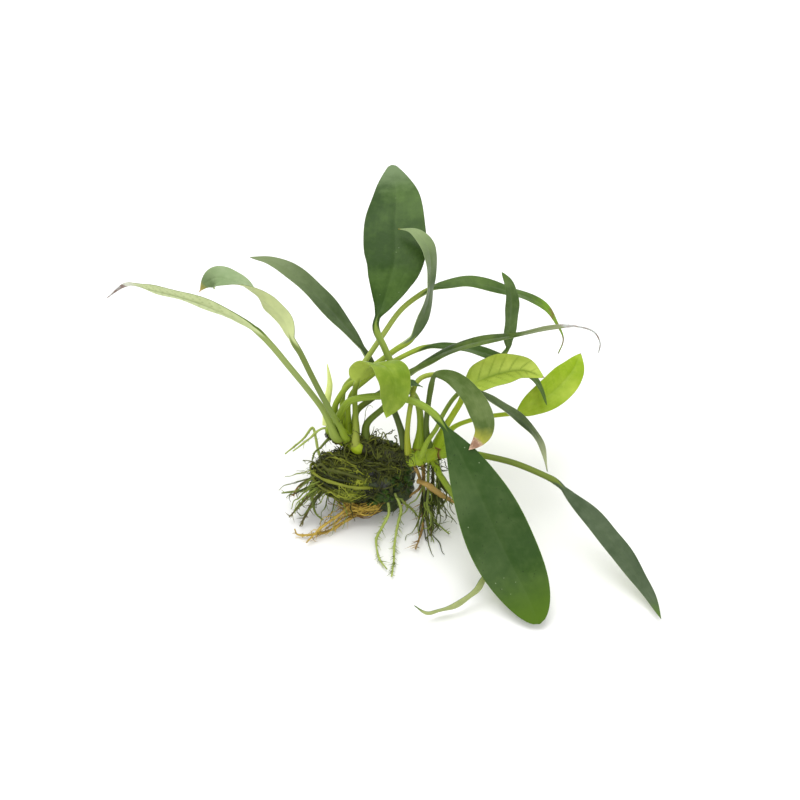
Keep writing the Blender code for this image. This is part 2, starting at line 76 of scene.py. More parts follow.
def piece(name, bundles, surface, slot, *nodes):
    """One object made of closed tubes. A bundle is (rings, marks): rings holds tubes x rows x points round
    x 3 in mm, and marks the values that the material reads at those points. Each row is joined to the next
    by quads, and a fan to the middle of the first and the last row closes the tube."""
    points, corners, totals, marked, start = [], [], [], {}, 0
    for rings, marks in bundles:
        count, rows, around = rings.shape[:3]
        at = start + np.arange(count * rows * around).reshape(count, rows, around)
        beside = np.roll(at, -1, axis=2)
        pole = at.max() + 1 + np.arange(count * 2).reshape(count, 2, 1) + np.zeros(around, int)
        quads = np.stack([at[:, :-1], at[:, 1:], beside[:, 1:], beside[:, :-1]], axis=-1)
        first = np.stack([pole[:, 0], at[:, 0], beside[:, 0]], axis=-1)
        last = np.stack([pole[:, 1], beside[:, -1], at[:, -1]], axis=-1)
        points += [rings.reshape(-1, 3), rings[:, [0, -1]].mean(axis=2).reshape(-1, 3)]
        corners += [quads.ravel(), first.ravel(), last.ravel()]
        totals += [np.full(quads.size // 4, 4), np.full(2 * count * around, 3)]
        for key, values in marks.items():
            whole = np.broadcast_to(values, rings.shape[:3])
            marked.setdefault(key, []).extend([whole.ravel(), whole[:, [0, -1]].mean(axis=2).ravel()])
        start += count * (rows * around + 2)
    points, corners, totals = (np.concatenate(part) for part in (points, corners, totals))

    mesh = bpy.data.meshes.new(name)
    mesh.vertices.add(len(points))
    mesh.vertices.foreach_set("co", (points * MM).astype(np.float32).ravel())
    mesh.loops.add(len(corners))
    mesh.loops.foreach_set("vertex_index", corners.astype(np.int32))
    mesh.polygons.add(len(totals))
    mesh.polygons.foreach_set("loop_start", (np.cumsum(totals) - totals).astype(np.int32))
    mesh.update(calc_edges=True)
    for key, values in marked.items():
        held = mesh.attributes.new(key, "FLOAT", "POINT")
        held.data.foreach_set("value", np.concatenate(values).astype(np.float32))
    mesh.shade_smooth()
    mesh.materials.append(surface)
    made = stand(name, mesh)
    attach(made, "root")
    if nodes:
        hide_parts(*nodes)


class Signal:
    """One output of a shader node. Arithmetic with signals and numbers adds Math nodes to its tree."""

    def __init__(self, socket):
        self.socket, self.tree = socket, socket.id_data

    def maths(self, operation, *others):
        return wire(self.tree, "Math", dict(enumerate((self, *others))), operation=operation)

    __add__ = partialmethod(maths, "ADD")
    __sub__ = partialmethod(maths, "SUBTRACT")
    __mul__ = partialmethod(maths, "MULTIPLY")
    __lt__ = partialmethod(maths, "LESS_THAN")


def fill(node, values):
    """Sets inputs of a shader node: a signal is linked, a colour is in percent, and a number is as it is."""
    for key, value in values.items():
        if isinstance(value, Signal):
            node.id_data.links.new(value.socket, node.inputs[key])
            continue
        if isinstance(value, tuple):
            value = (*(percent / 100 for percent in value), 1)
        node.inputs[key].default_value = value


def wire(tree, kind, values=(), out=0, **settings):
    """Adds one shader node, fills its inputs and gives one of its outputs."""
    made = tree.nodes.new("ShaderNode" + kind)
    for key, value in settings.items():
        setattr(made, key, value)
    fill(made, dict(values))
    return Signal(made.outputs[out])


def ease(value, low, high):
    """0 below low, 1 above high, and a smooth step between them."""
    return wire(value.tree, "MapRange", {0: value, 1: low, 2: high}, interpolation_type="SMOOTHSTEP")


def blend(factor, first, second):
    return wire(factor.tree, "Mix", {0: factor, 6: first, 7: second}, 2, data_type="RGBA")


def noise(at, scale, detail=3):
    return wire(at.tree, "TexNoise", {"Vector": at, "Scale": scale, "Detail": detail})


def mark(tree, name):
    """The value that a piece keeps at each of its points under this name."""
    return wire(tree, "Attribute", out="Fac", attribute_name=name)


def start_material(name):
    """An empty material, its shader and the place of each point of the piece."""
    made = bpy.data.materials.new(name)
    made.use_nodes = True
    return made, made.node_tree.nodes["Principled BSDF"], wire(made.node_tree, "TexCoord", out="Object")


def coat(shader, colour, rough, height, depth):
    """Feeds the shader a colour, a roughness, and a height in units of depth metres as its normal."""
    bump = wire(height.tree, "Bump", {"Height": height, "Distance": depth, "Strength": 1})
    fill(shader, {"Base Color": colour, "Roughness": rough, "Normal": bump})


def directions(rows, around):
    """Directions from a lump's middle: rows from its top to its bottom, and points round each row."""
    polar = np.linspace(0.004, np.pi - 0.004, rows)[:, None]
    turn = TURN * np.arange(around) / around
    return np.stack([np.sin(polar) * np.cos(turn), np.sin(polar) * np.sin(turn),
                     np.cos(polar) * np.ones(around)], axis=-1)


def lump(d, shape, lift=0):
    """The point of an uneven lump in each direction d: its half sizes times a sum of slow waves, less where
    its upper back is drawn in, and lift. shape holds its middle, half sizes and the seed of its waves."""
    middle, half, seed = shape
    x, y, z = np.moveaxis(d, -1, 0)
    wave = 1 + 0.05 * np.sin(3.1 * x + 2.3 * y + 0.5 + seed) + 0.04 * np.sin(4.7 * y - 3.7 * z + 1.9 + seed)
    wave = wave + 0.025 * np.sin(7.9 * x - 5.3 * z + 0.7 * seed) - 0.25 * np.maximum(y, 0) * np.maximum(z, 0)
    return middle + d * (half * wave[..., None] + np.asarray(lift)[..., None])


def ripples(d, low, high, count, seed):
    """A sum of count sine waves in drawn directions, from low to high waves across d, finer ones lower."""
    draw, pitch = rng(seed), np.geomspace(low, high, count)
    step = unit(draw.normal(size=(count, 3))) * pitch[:, None]
    waves = np.sin(d @ step.T + draw.uniform(0, TURN, count))
    return (waves * (low / pitch) ** 0.8).sum(axis=-1)


def stone_finish():
    """Charcoal stone: dark grain, olive algae where broad noise is high, pale flecks and an uneven sheen."""
    made, shader, at = start_material("dark_mossy_stone")
    grain, broad = noise(at, 900, 6), noise(at, 85, 4)
    bare = blend(ease(grain, 0.35, 0.7), (0.6, 0.8, 0.6), (3, 3.2, 2.5))
    algae = blend(grain, (1.2, 2.5, 0.2), (5, 7.5, 0.8))
    colour = blend(ease(broad, 0.42, 0.6), bare, algae)
    colour = blend(ease(noise(at, 260, 5), 0.63, 0.72), colour, (11, 10, 6))
    coat(shader, colour, broad * 0.5 + 0.3, grain + broad * 1.5, 0.0006)
    return made


ways = directions(STONE_ROWS, STONE_AROUND)
pits = 0.55 * ripples(ways, 5, 40, 36, 4) - 0.35 * np.abs(ripples(ways, 4, 11, 9, 9))
stone = raised(lump(ways, STONE, pits - 0.2))
piece("stone_surface", [(stone[None], {})], stone_finish(), "stone", "stone")


# Rhizome: the creeping stem of the plant, firm and green, ringed by the scars of old leaves, with the short
# branch that ends in a round bud at its front. It is held to the stone by its roots.

RHIZOME = [(-19, 8, 40.5), (-15.5, 5, 40), (-10.5, 2, 39), (-5, 0, 38), (0, -2.5, 37.3), (8.5, -5.5, 36.3),
           (17, -8.5, 36.3), (25.5, -9.5, 37.5), (33.5, -6.5, 38.5), (37.5, -4, 39.5)]
BRANCH = [(-3, -1, 38), (-3.6, -2.6, 37.9), (-4.2, -4.2, 37.7), (-4.6, -5.3, 37.6), (-5, -6.4, 37.5)]
STEM_R, STEM_END_R = 4.3, 3.6
SPAN_STEPS = 24  # points between two given points of a curve
GUIDE = np.array([0.36, 0.48, 0.8])  # a direction that no path runs along for long


def spline(points, count):
    """A smooth curve through the points, read at evenly spaced lengths."""
    p = np.array(points, float)
    ends = np.vstack([2 * p[0] - p[1], p, 2 * p[-1] - p[-2]])
    t = np.linspace(0, 1, SPAN_STEPS, endpoint=False)[:, None]
    fine = np.vstack([*(
        0.5 * (2 * b + (c - a) * t + (2 * a - 5 * b + 4 * c - d) * t**2 + (3 * b - 3 * c + d - a) * t**3)
        for a, b, c, d in zip(ends, ends[1:], ends[2:], ends[3:])
    ), ends[-2:-1]])
    run = lengths_along(fine)
    return at_places(fine, run, np.linspace(0, run[-1], count))


def lengths_along(path):
    return np.concatenate([[0], np.cumsum(np.linalg.norm(np.diff(path, axis=0), axis=1))])


def at_places(path, run, places):
    """The points of a path where the measure run reaches each of the places."""
    return np.stack([np.interp(places, run, path[:, k]) for k in range(3)], axis=-1)


def dot(a, b):
    return (a * b).sum(axis=-1, keepdims=True)


def frames(paths):
    """Two directions square to each path, which turn no more than the path does: those of a fixed guide
    direction, turned back by the sum of the twists between neighbouring points."""
    along = unit(np.gradient(paths, axis=-2))
    side = unit(np.cross(along, GUIDE))
    up = np.cross(side, along)
    a, b, n = along[..., :-1, :], along[..., 1:, :], side[..., :-1, :]
    carried = n - dot(n, b) / (1.001 + dot(a, b)) * (a + b)
    twist = np.arctan2(dot(carried, up[..., 1:, :]), dot(carried, side[..., 1:, :]))
    total = np.concatenate([np.zeros_like(twist[..., :1, :]), np.cumsum(twist, axis=-2)], axis=-2)
    return np.cos(total) * side + np.sin(total) * up, np.cos(total) * up - np.sin(total) * side


def tubes(paths, radii, around, lumps=0):
    """Rings round each path: its point plus the radius there times cosine and sine of the turn, on the two
    directions square to it. lumps makes the radius uneven by that share."""
    side, up = frames(paths)
    turn = TURN * np.arange(around) / around
    ring = side[..., None, :] * np.cos(turn)[:, None] + up[..., None, :] * np.sin(turn)[:, None]
    radii = np.broadcast_to(radii, paths.shape[:-1])[..., None]
    if lumps:
        radii = radii * (1 + lumps * 0.5 * ripples(paths[..., None, :] + 1.2 * ring, 0.6, 4, 12, 3))
    return paths[..., None, :] + ring * radii[..., None]


def plant_finish(name, dark, light, rough=0.5, scale=160, depth=0.0003, scar=None):
    """Skin of a stem or root. tone shifts its shade from dark to light. Where it can be scarred, worn is 1 on
    the scars."""
    made, shader, at = start_material(name)
    fine, broad = noise(at, scale * 6, 5), noise(at, scale, 4)
    colour = blend(ease(mark(at.tree, "tone") * 0.6 + broad * 0.55, 0.2, 0.85), dark, light)
    if scar:
        colour = blend(ease(mark(at.tree, "worn") + fine * 0.5, 0.55, 0.95), colour, scar)
    shader.inputs["Specular IOR Level"].default_value = 0.3
    coat(shader, colour, rough, fine + broad, depth)
    return made


def stem_rings(route, radii, rows, around, ring_gap, tone=0.5, old=(0.3, 0.3)):
    """A stem with a low swelling between leaf scars ring_gap apart, and a narrow groove at each. Between the
    two shares of its length in old it is bare and brown."""
    path, share = spline(route, rows), np.linspace(0, 1, rows)
    run = np.linspace(0, lengths_along(path)[-1], rows)
    r = np.interp(share, np.linspace(0, 1, len(radii)), radii)
    scar = np.abs(np.sin(np.pi * run / ring_gap)) ** 0.35
    closing = np.sqrt(np.clip(np.minimum(run + 0.4, run[-1] + 0.4 - run) / (0.8 * r), 0, 1))
    rings = tubes(path[None], (r * closing * (0.9 + 0.1 * scar))[None], around, lumps=0.05)
    bare = np.clip((share - old[0]) / 0.08, 0, 1) * np.clip((old[1] - share) / 0.08, 0, 1)
    return rings, {"tone": tone, "worn": np.maximum(0.6 * (1 - scar), 0.9 * bare)[None, :, None]}


STEM_SKIN = plant_finish("rhizome_skin", (11, 20, 0.4), (32, 42, 1.2), 0.4, scar=(3, 3, 0.8))
piece("rhizome_stem", [
    stem_rings(RHIZOME, [STEM_END_R, *[STEM_R] * 8, STEM_END_R], 220, 40, 4.3, old=(0.26, 0.72)),
    stem_rings(BRANCH, [STEM_R, STEM_R], 60, 36, 3.1, tone=1.2),
], STEM_SKIN, "rhizome", "rhizome")


# Leaves: each is one piece, a round stalk that rises from the rhizome out of a flat sheath, a short paler
# joint, and a leathery blade with a midrib and side veins. face says which way the blade's upper side looks,
# as a share of the blade's length and a direction.

SIDES, STALK_ROWS, BLADE_ROWS = 48, 44, 96
EDGE_HALF, NECK_HALF = 0.27, 0.32  # half the thickness of a blade near its edge, half its least width
VEIN_GAP = 5.2  # between side veins along the midrib
VEIN_SLANT = 0.75  # how far forward a side vein runs, over how far out
WAVES = 3  # of a blade's edge from its base to its tip


def leaf_pattern():
    """The leaf's colour from where a point lies on it. along is -1 to 0 up the stalk and 0 to 1 down the
    blade, across is -1 to 1 from edge to edge, upper is above 0 on the upper side, and vein 1 on a vein."""
    tree = bpy.data.node_groups.new("leaf_pattern", "ShaderNodeTree")
    for way, kind, names in (
        ("INPUT", "Color", "Deep Light Vein Underside Stalk Foot Margin Fading Tip"),
        ("INPUT", "Float", "Tip_From Fade Veins Specks Blotch Lit"),
        ("OUTPUT", "Color", "Color"),
        ("OUTPUT", "Float", "Roughness Height"),
    ):
        for name in names.split():
            tree.interface.new_socket(name, in_out=way, socket_type="NodeSocket" + kind)
    given = {each.name: Signal(each) for each in tree.nodes.new("NodeGroupInput").outputs}
    at = wire(tree, "TexCoord", out="Object")
    along, across, upper, vein = (mark(tree, name) for name in ("along", "across", "upper", "vein"))
    off_middle = across.maths("ABSOLUTE")
    broad, mottle, grain = noise(at, 42, 2), noise(at, 260, 4), noise(at, 1500, 3)
    streak = noise(wire(tree, "CombineXYZ", {0: across * 9, 1: along * 3, 2: upper * 9}), 1)

    # Painted sheen: broad noise paints pale patches on the blade where a glossy reflection would be; the
    # finer mottle and the streaks are the leaf's own colour.
    sheen_and_mottle = ease(broad, 0.38, 0.66) * given["Blotch"] + ease(mottle, 0.35, 0.75) * 0.28
    # Painted light and shade: one half of the blade, across the midrib, is painted brighter and the other
    # half darker by the given share.
    sheen_and_mottle = sheen_and_mottle + (ease(across, -0.04, 0.04) - 0.5) * given["Lit"]
    sheen_and_mottle = sheen_and_mottle + (ease(streak, 0.3, 0.7) - 0.5) * 0.08
    lines = vein * given["Veins"]
    top = blend(lines * 0.5, blend(sheen_and_mottle, given["Deep"], given["Light"]), given["Vein"])
    low = blend((lines + mottle) * 0.35, given["Underside"], given["Deep"])
    colour = blend(ease(upper, -0.05, 0.05), low, top)

    flecks, dots = (
        (wire(tree, "TexVoronoi", {"Vector": at, "Scale": scale}) < size) * given["Specks"]
        for scale, size in ((620, 0.15), (190, 0.05))
    )
    colour = blend(flecks * ease(noise(at, 120, 2), 0.5, 0.6), colour, (1.2, 2.2, 0.6))
    colour = blend(dots, colour, (20, 26, 14))
    # A band along both edges in the margin colour: the leaf's own rim, and on the hooked blade a painted edge
    # highlight as well.
    colour = blend(ease(off_middle, 0.965, 0.995), colour, given["Margin"])

    # Towards the tip the colour fades into the fading colour: the leaf's own yellowing and greying before a
    # dead tip, and on the hooked, upper left and top broad blades a painted pale sheen.
    wander = mottle * 0.1 + (along - 0.05)
    colour = blend(ease(wander, given["Tip_From"] - given["Fade"], given["Tip_From"]), colour,
                   given["Fading"])
    dead = ease(wander, given["Tip_From"], given["Tip_From"] + 0.035)
    rotten = ease(mottle + grain * 0.3, 0.55, 0.8) * 0.75
    colour = blend(dead, colour, blend(rotten, given["Tip"], (16, 7, 3.5)))

    stalk = blend(ease(along, -1, -0.45), given["Foot"], given["Stalk"])
    stalk = blend(ease(streak, 0.4, 0.75) * 0.4, stalk, given["Deep"])
    stalk = blend(ease(along, -0.965, -0.995), stalk, (16, 7, 2.5))
    colour = blend(ease(off_middle * 0.1 + along, 0.075, -0.005), colour, stalk)

    dull = mottle * 0.14 + (ease(upper, 0.05, -0.05) * 0.16 + 0.33)
    fill(tree.nodes.new("NodeGroupOutput"), {
        "Color": colour, "Roughness": dull.maths("MAXIMUM", dead * 0.8),
        "Height": grain * 0.25 - lines * 0.5 + mottle * 0.5})
    return tree


PATTERN = leaf_pattern()
PAINTED_LIT_RIGHT, PAINTED_LIT_LEFT = 0.22, -0.22  # painted light: the half of a blade that is painted brighter, and by how much; the other half is painted darker
# The usual look gives every blade broad pale patches of painted sheen, unless a leaf sets its own share.
LEAF_DARK = dict(
    Deep=(2, 5.5, 0.3), Light=(7, 12.5, 2), Vein=(10, 16, 4), Underside=(40, 47, 17),
    Stalk=(26, 34, 4), Foot=(22, 31, 1.2), Margin=(10, 16, 5), Fading=(7, 13, 2),
    Tip=(20, 24, 12), Tip_From=0.985, Fade=0.13, Veins=0.25, Specks=0, Blotch=0.45, Lit=0)
LEAF_YOUNG = dict(
    LEAF_DARK, Deep=(15, 26, 0.6), Light=(42, 52, 6), Vein=(10, 18, 0.5),
    Underside=(42, 52, 10), Stalk=(34, 43, 3), Foot=(26, 38, 1), Margin=(16, 17, 3),
    Fading=(30, 42, 3), Tip=(35, 38, 15), Veins=0.9)
USUAL_LOOK = {"leaf_dark": LEAF_DARK, "leaf_young": LEAF_YOUNG}


def leaf_finish(name, look):
    made, shader, _ = start_material(name)
    pattern = shader.id_data.nodes.new("ShaderNodeGroup")
    pattern.node_tree = PATTERN
    fill(pattern, look)
    shader.inputs["Specular IOR Level"].default_value = 0.15
    coat(shader, *(Signal(pattern.outputs[key]) for key in ("Color", "Roughness", "Height")), 0.00025)
    return made


def leaf(name, width, stalk, blade, face, slot="leaf_dark", widest=0.4, ends=(0.8, 0.9), fold=5, r=1.5,
         blunt=1, ruffle=0.35, sheath=1.5, **look):
    """Rings carried along the leaf's path. On the stalk a ring is round, and a flat sheath at the foot widens
    it. On the blade its half width follows an outline, (1 - x squared) to a power on each side of the widest
    place. It rises from the midrib by the fold, waves along its edges, and dips along the side veins. look
    holds what differs from the usual look of its slot."""
    path = spline([*stalk, *blade], 600)
    run = lengths_along(path)
    base = run[np.argmin(np.linalg.norm(path - np.array(stalk[-1]), axis=1))]
    places = np.concatenate([
        np.linspace(0, base, STALK_ROWS, endpoint=False),
        base + (run[-1] - base) * np.linspace(0, 1, BLADE_ROWS),
    ])
    centre = at_places(path, run, places)
    along = unit(at_places(path, run, places + 0.5) - at_places(path, run, places - 0.5))
    b = np.clip((places - base) / (run[-1] - base), 0, 1)
    face = np.array(face, float)
    up = at_places(face[:, 1:], face[:, 0], b)
    up = unit(up - dot(up, along) * along)
    side = np.cross(along, up)

    before = b < widest
    from_widest = np.where(before, (widest - b) / widest, blunt * (b - widest) / (1 - widest))
    outline = np.maximum(1 - from_widest**2, 0) ** np.where(before, ends[0], ends[1])
    foot = np.exp(-((places / 9) ** 2))
    joint = np.exp(-(((places - base + 2.5) / 3) ** 2))
    stalk_r = r * (1 + 0.2 * foot + 0.1 * joint)
    half = np.maximum(width / 2 * outline, NECK_HALF + (r - NECK_HALF) * np.clip(1 - 2.2 * b, 0, 1) ** 1.5)
    half = np.where(b > 0, half, stalk_r * (1 + (sheath - 1) * foot))
    thick = EDGE_HALF + (r - EDGE_HALF) * np.clip(1 - 3 * b, 0, 1) ** 1.6
    thick = np.where(b > 0, thick, stalk_r * (1 + 0.5 * (sheath - 1) * foot))
    closing = np.sqrt(np.clip((run[-1] + 0.15 - places) / 1.2, 0, 1))[:, None]

    b, half, places = b[:, None], half[:, None], places[:, None]
    flat, blade_share = np.clip(3 * b, 0, 1), np.clip(5 * b, 0, 1) * np.clip(4 * (1 - b), 0, 1)
    turn = TURN * (np.arange(SIDES) + 0.5) / SIDES
    c = np.sign(np.cos(turn)) * abs(np.cos(turn)) ** 1.45
    s = np.sign(np.sin(turn)) * np.sqrt(1 - c**2)
    s = np.sign(s) * abs(s) ** (1 - 0.45 * flat)
    x = half * closing * c
    out = abs(x)
    rise = thick[:, None] * closing * s
    rise = rise + np.tan(np.radians(fold)) * np.clip(8 * b, 0, 1) * (np.sqrt(out**2 + 0.8) - 0.9)
    swing = np.sin(TURN * WAVES * b + 1.3 * np.sign(c) + width)
    rise = rise + ruffle * blade_share * swing * (out / (half + 0.01)) ** 2
    rib = np.exp(-((out / (0.35 + 0.9 * (1 - b))) ** 2))
    rise = rise + blade_share * np.where(s > 0, -0.22, -0.55 * (1 - 0.7 * b)) * rib
    phase = (places - base - VEIN_SLANT * out) / VEIN_GAP + 0.25 * np.sign(c)
    vein = np.clip(1 - 8 * abs(phase - np.round(phase)), 0, 1) * np.clip(1.3 - abs(c), 0, 1)
    rise = rise - 0.07 * blade_share * vein * np.sign(s)
    rings = centre[:, None] + side[:, None] * x[..., None] + up[:, None] * rise[..., None]
    marks = {"along": np.where(places < base, places / base - 1, b)[None], "across": (c + 0 * x)[None],
             "upper": s[None], "vein": np.maximum(vein * blade_share, rib * flat)[None]}
    skin = leaf_finish(name + "_skin", {**USUAL_LOOK[slot], **look})
    piece(name + "_grown", [(rings[None], marks)], skin, slot, name)


# The left crown carries most of the leaves. Two of them lean far to the left and show their pale undersides.
leaf("leaf_far_left", width=10.5, widest=0.35, ends=(0.6, 1), sheath=1.9, Deep=(11, 17, 3),
     Underside=(60, 68, 34), Margin=(9, 14, 2), Fading=(60, 62, 50), Tip=(45, 45, 44), Tip_From=0.84,
     Stalk=(30, 37, 12), Veins=1.2, Foot=(25, 33, 5),
     stalk=[(-13, 0.5, 39.5), (-14.8, -1.5, 44), (-16.5, -1, 49.5), (-20.5, 3, 57.5), (-28, 7, 68),
         (-36.5, 11, 79), (-44, 15, 88), (-51, 19, 94)],
     blade=[(-58.5, 21.5, 98), (-71.5, 27, 101), (-88, 37, 99), (-104, 50, 92), (-117.5, 62.5, 84),
         (-129, 64, 74)],
     face=[(0, 5, 8, 1), (0.5, 5, 8, 4), (0.8, 4, 8, 5), (1, -5, 6, 6)])
leaf("leaf_left_twisted", width=14, widest=0.72, ends=(0.5, 1.5), fold=2, r=1.4, Deep=(19, 27, 12),
     Light=(30, 38, 20), Underside=(56, 62, 28), Margin=(20, 25, 10), Fading=(40, 36, 10), Tip=(80, 55, 30),
     Tip_From=0.955, Fade=0.04, Stalk=(16, 21, 4.5),
     stalk=[(-8.5, 0.5, 39), (-10, -3, 45), (-12.5, -2.5, 52), (-16, -2, 60), (-21.5, 2.5, 70),
         (-26, 5.5, 80), (-30, 8.5, 89), (-33.5, 11, 95)],
     blade=[(-36.5, 17, 101), (-41, 20.5, 105), (-47, 24.5, 108), (-52.5, 29.5, 109), (-58.5, 35, 109),
         (-64.5, 39, 108), (-70.5, 42.5, 106), (-75.5, 43.5, 102), (-79.5, 42, 97)],
     face=[(0, 3.5, 7.5, -4), (0.3, 3, 8, -0.5), (0.5, 3, 7, 6), (0.64, 2, 2, 9.5), (0.76, 1.5, -3, 9),
         (0.88, 1, -7, 7), (1, 0, -7, 7)])
# Painted sheen and light: the upper part of this blade fades into a pale grey-green that stands in for its
# glossy reflection and lifts its shaded hook, and its pale edges are a painted edge highlight.
leaf("leaf_hooked", width=11, widest=0.58, ends=(0.6, 1.3), r=1.4, Deep=(6, 10, 3.5), Light=(15, 20, 9),
     Margin=(33, 40, 22), Fading=(21, 28, 12), Fade=0.6, Tip=(28, 38, 5), Tip_From=0.965, Stalk=(33, 43, 5),
     stalk=[(-15.5, 5, 40), (-15, 9, 45), (-14.5, 10.5, 53), (-9, 14.5, 61), (-3.5, 14.5, 66), (4.5, 18, 72),
         (14, 22.5, 77.5), (21.5, 24, 83)],
     blade=[(25.5, 28, 88), (29.5, 35, 96), (31, 42, 105), (31, 47, 113), (29, 51.5, 119), (23, 58, 121.5),
         (15.5, 64, 118)],
     face=[(0, 4, -9, 1), (0.18, 6, -7, 3), (0.38, 10, -2, 1), (0.6, 8, -4, 4), (1, -3, 3, 9)])
leaf("leaf_long_arch", width=9, widest=0.28, ends=(0.8, 1.6), fold=4, r=1.3, Deep=(3.5, 7.5, 1),
     Light=(10, 16.5, 3.5), Margin=(20, 28, 8), Fading=(14, 25, 2), Tip=(17, 28, 3), Tip_From=0.72,
     Stalk=(38, 46, 10),
     stalk=[(-11.5, 3, 39.5), (-11.5, 10, 43), (-11.5, 17, 50), (-10, 19, 57), (-5, 19.5, 64), (1, 23.5, 72),
         (8, 30, 80), (17.5, 40.5, 88), (30, 50.5, 91)],
     blade=[(40.5, 54, 92), (51.5, 55.5, 92), (68, 54, 88), (80, 55, 82), (88.5, 54.5, 76), (93.5, 50, 70),
         (97, 46, 63), (94.5, 41.5, 57)],
     face=[(0, -2, 0, 10), (0.25, 1, 0, 10), (0.5, 3, 1, 9), (0.75, 7, -3, 7), (1, 7, -7, 2)])
# Painted light: one half of this blade is painted brighter and the other half darker.
leaf("leaf_long_right", width=9, widest=0.22, ends=(0.7, 1.4), fold=4, Deep=(2, 4.5, 0.2), Light=(12, 18, 3),
     Margin=(15, 20, 7), Fading=(18, 21, 9), Tip=(42, 44, 42), Tip_From=0.7, Fade=0.25, Stalk=(9, 12, 2),
     Lit=PAINTED_LIT_RIGHT,
     stalk=[(-5, 0, 39), (-5, 3.5, 44), (-4.5, 8.5, 50), (2, 10.5, 56), (8.5, 12.5, 60), (15.5, 15.5, 64),
         (22.5, 18, 68)],
     blade=[(31, 22, 71), (40.5, 23, 77), (54.5, 23, 83), (73.5, 23.5, 87), (88, 28, 87), (99, 31.5, 85),
         (109, 33.5, 80), (113, 32, 74), (112.5, 29.5, 69)],
     face=[(0, -5, 2, 9), (0.2, -5, 2, 9), (0.6, -1, 4, 9), (0.8, 2, 5, 9), (1, 7, -7, 2)])
leaf("leaf_thin_right", width=8, ends=(0.8, 0.7), fold=6, r=1.2, Deep=(3.5, 7.5, 1), Light=(10, 17, 4),
     Stalk=(34, 44, 5),
     stalk=[(-8.5, 1.5, 39.5), (-8.5, 6.5, 44.5), (-8.5, 12.5, 51), (-6, 16.5, 56), (0, 19, 61),
         (7, 20.5, 67), (13.5, 23, 70), (28.5, 30.5, 72)],
     blade=[(43, 33, 70), (58, 36, 63), (72.5, 32.5, 59), (81, 25.5, 57), (85, 18.5, 55), (87.5, 12, 51)],
     face=[(0, 0, 1, 10), (0.5, 3, 1, 10), (1, 7, -2, 7)])
# Painted sheen and light: broad pale patches on this blade stand in for its glossy reflection, and one half
# of it is painted a little brighter than the other.
leaf("leaf_big_front", width=31, widest=0.6, ends=(1.1, 0.55), fold=3, r=1.7, ruffle=0.5, sheath=1.7,
     Deep=(2.5, 6.3, 0.8), Light=(6.7, 11.3, 3.2), Margin=(9, 17, 2), Stalk=(24, 34, 4),
     Fading=(6.5, 13, 0.5), Tip=(12, 19, 2), Tip_From=1, Fade=0.3, Specks=1, Blotch=0.5, Veins=0.12,
     Lit=0.5 * PAINTED_LIT_RIGHT,
     stalk=[(-13.2, 4.3, 40), (-13.5, 3.5, 46), (-12, 3.5, 54), (-7, 3, 63), (5, 1, 68), (16.5, -2, 70),
         (27.5, -6.5, 69), (35.5, -12, 64)],
     blade=[(44.5, -24, 55), (54.5, -40.5, 42), (64.5, -54.5, 24), (75, -70.5, 11), (81.5, -83.5, 3)],
     face=[(0, 1, -6, 8), (0.5, 1, -8, 6), (1, -1, -5, 8)])

# The bud at the front and the middle of the stem carry a soft young leaf, folded over, and a small dark one.
leaf("leaf_folded_lime", slot="leaf_young", width=19, ends=(0.4, 0.95), fold=8, r=1.3, Deep=(13, 21.5, 1),
     Light=(31, 40, 5), Underside=(42, 52, 8), Margin=(30, 40, 8), Veins=0.3, Stalk=(20, 26, 3),
     Foot=(34, 38, 7), Fade=0.1,
     stalk=[(-4.5, -4, 37.5), (-4.8, -3.5, 42.5), (-4.8, -1, 48), (-5, 4.5, 56), (-5, 7.5, 65),
         (-3.5, 7, 73)],
     blade=[(-1.5, 7, 78), (1.5, 6.5, 83), (5.5, 4.5, 86), (10.5, 0.5, 87), (13.5, -4.5, 84.5),
         (13.5, -9, 77), (10, -10.5, 65)],
     face=[(0, -3, 9, 0), (0.2, -3, 8, 3), (0.42, 0, 5, 8), (0.62, 4, -4, 8), (0.8, 1, -9, 4),
         (1, 0, -10, 2)])
leaf("leaf_small_hidden", width=7, ends=(1, 1), fold=6, Deep=(3, 6.5, 1.2), Stalk=(11, 16, 2),
     Foot=(11, 15, 2),
     stalk=[(0.5, -2, 39), (0.5, 2, 48), (8.5, 4, 57), (14, 5, 64)],
     blade=[(18.5, 3.5, 71), (21.5, 3, 74.5), (24.5, 3, 74), (27.5, 4.5, 70.5)],
     face=[(0, -8, -1, 6), (0.5, -6, 0, 8), (1, 3, 4, 9)])

# The right crown: the tallest broad blade, the two youngest full blades, and thin leaves that bend right.
# Painted sheen: this blade fades from dark green to a pale grey-green over its outer part, where a reflection
# lies on it.
leaf("leaf_upper_left", width=12, widest=0.45, ends=(0.9, 0.9), Deep=(4, 6.7, 2.1), Light=(9.5, 13.8, 6),
     Margin=(30, 37, 19), Fading=(16, 21, 9), Fade=0.65, Stalk=(8, 11, 3), Foot=(10, 14, 3),
     stalk=[(19.5, -7.5, 38.5), (17, -2, 48), (13, 7.5, 54), (8, 20, 58), (0, 28.5, 70)],
     blade=[(-9.5, 34.5, 82), (-20.5, 40, 94), (-32, 48, 102), (-45, 54.5, 106), (-56, 61, 103)],
     face=[(0, 6, -3, 7), (0.5, 5, -2, 8), (1, -2, 1, 10)])
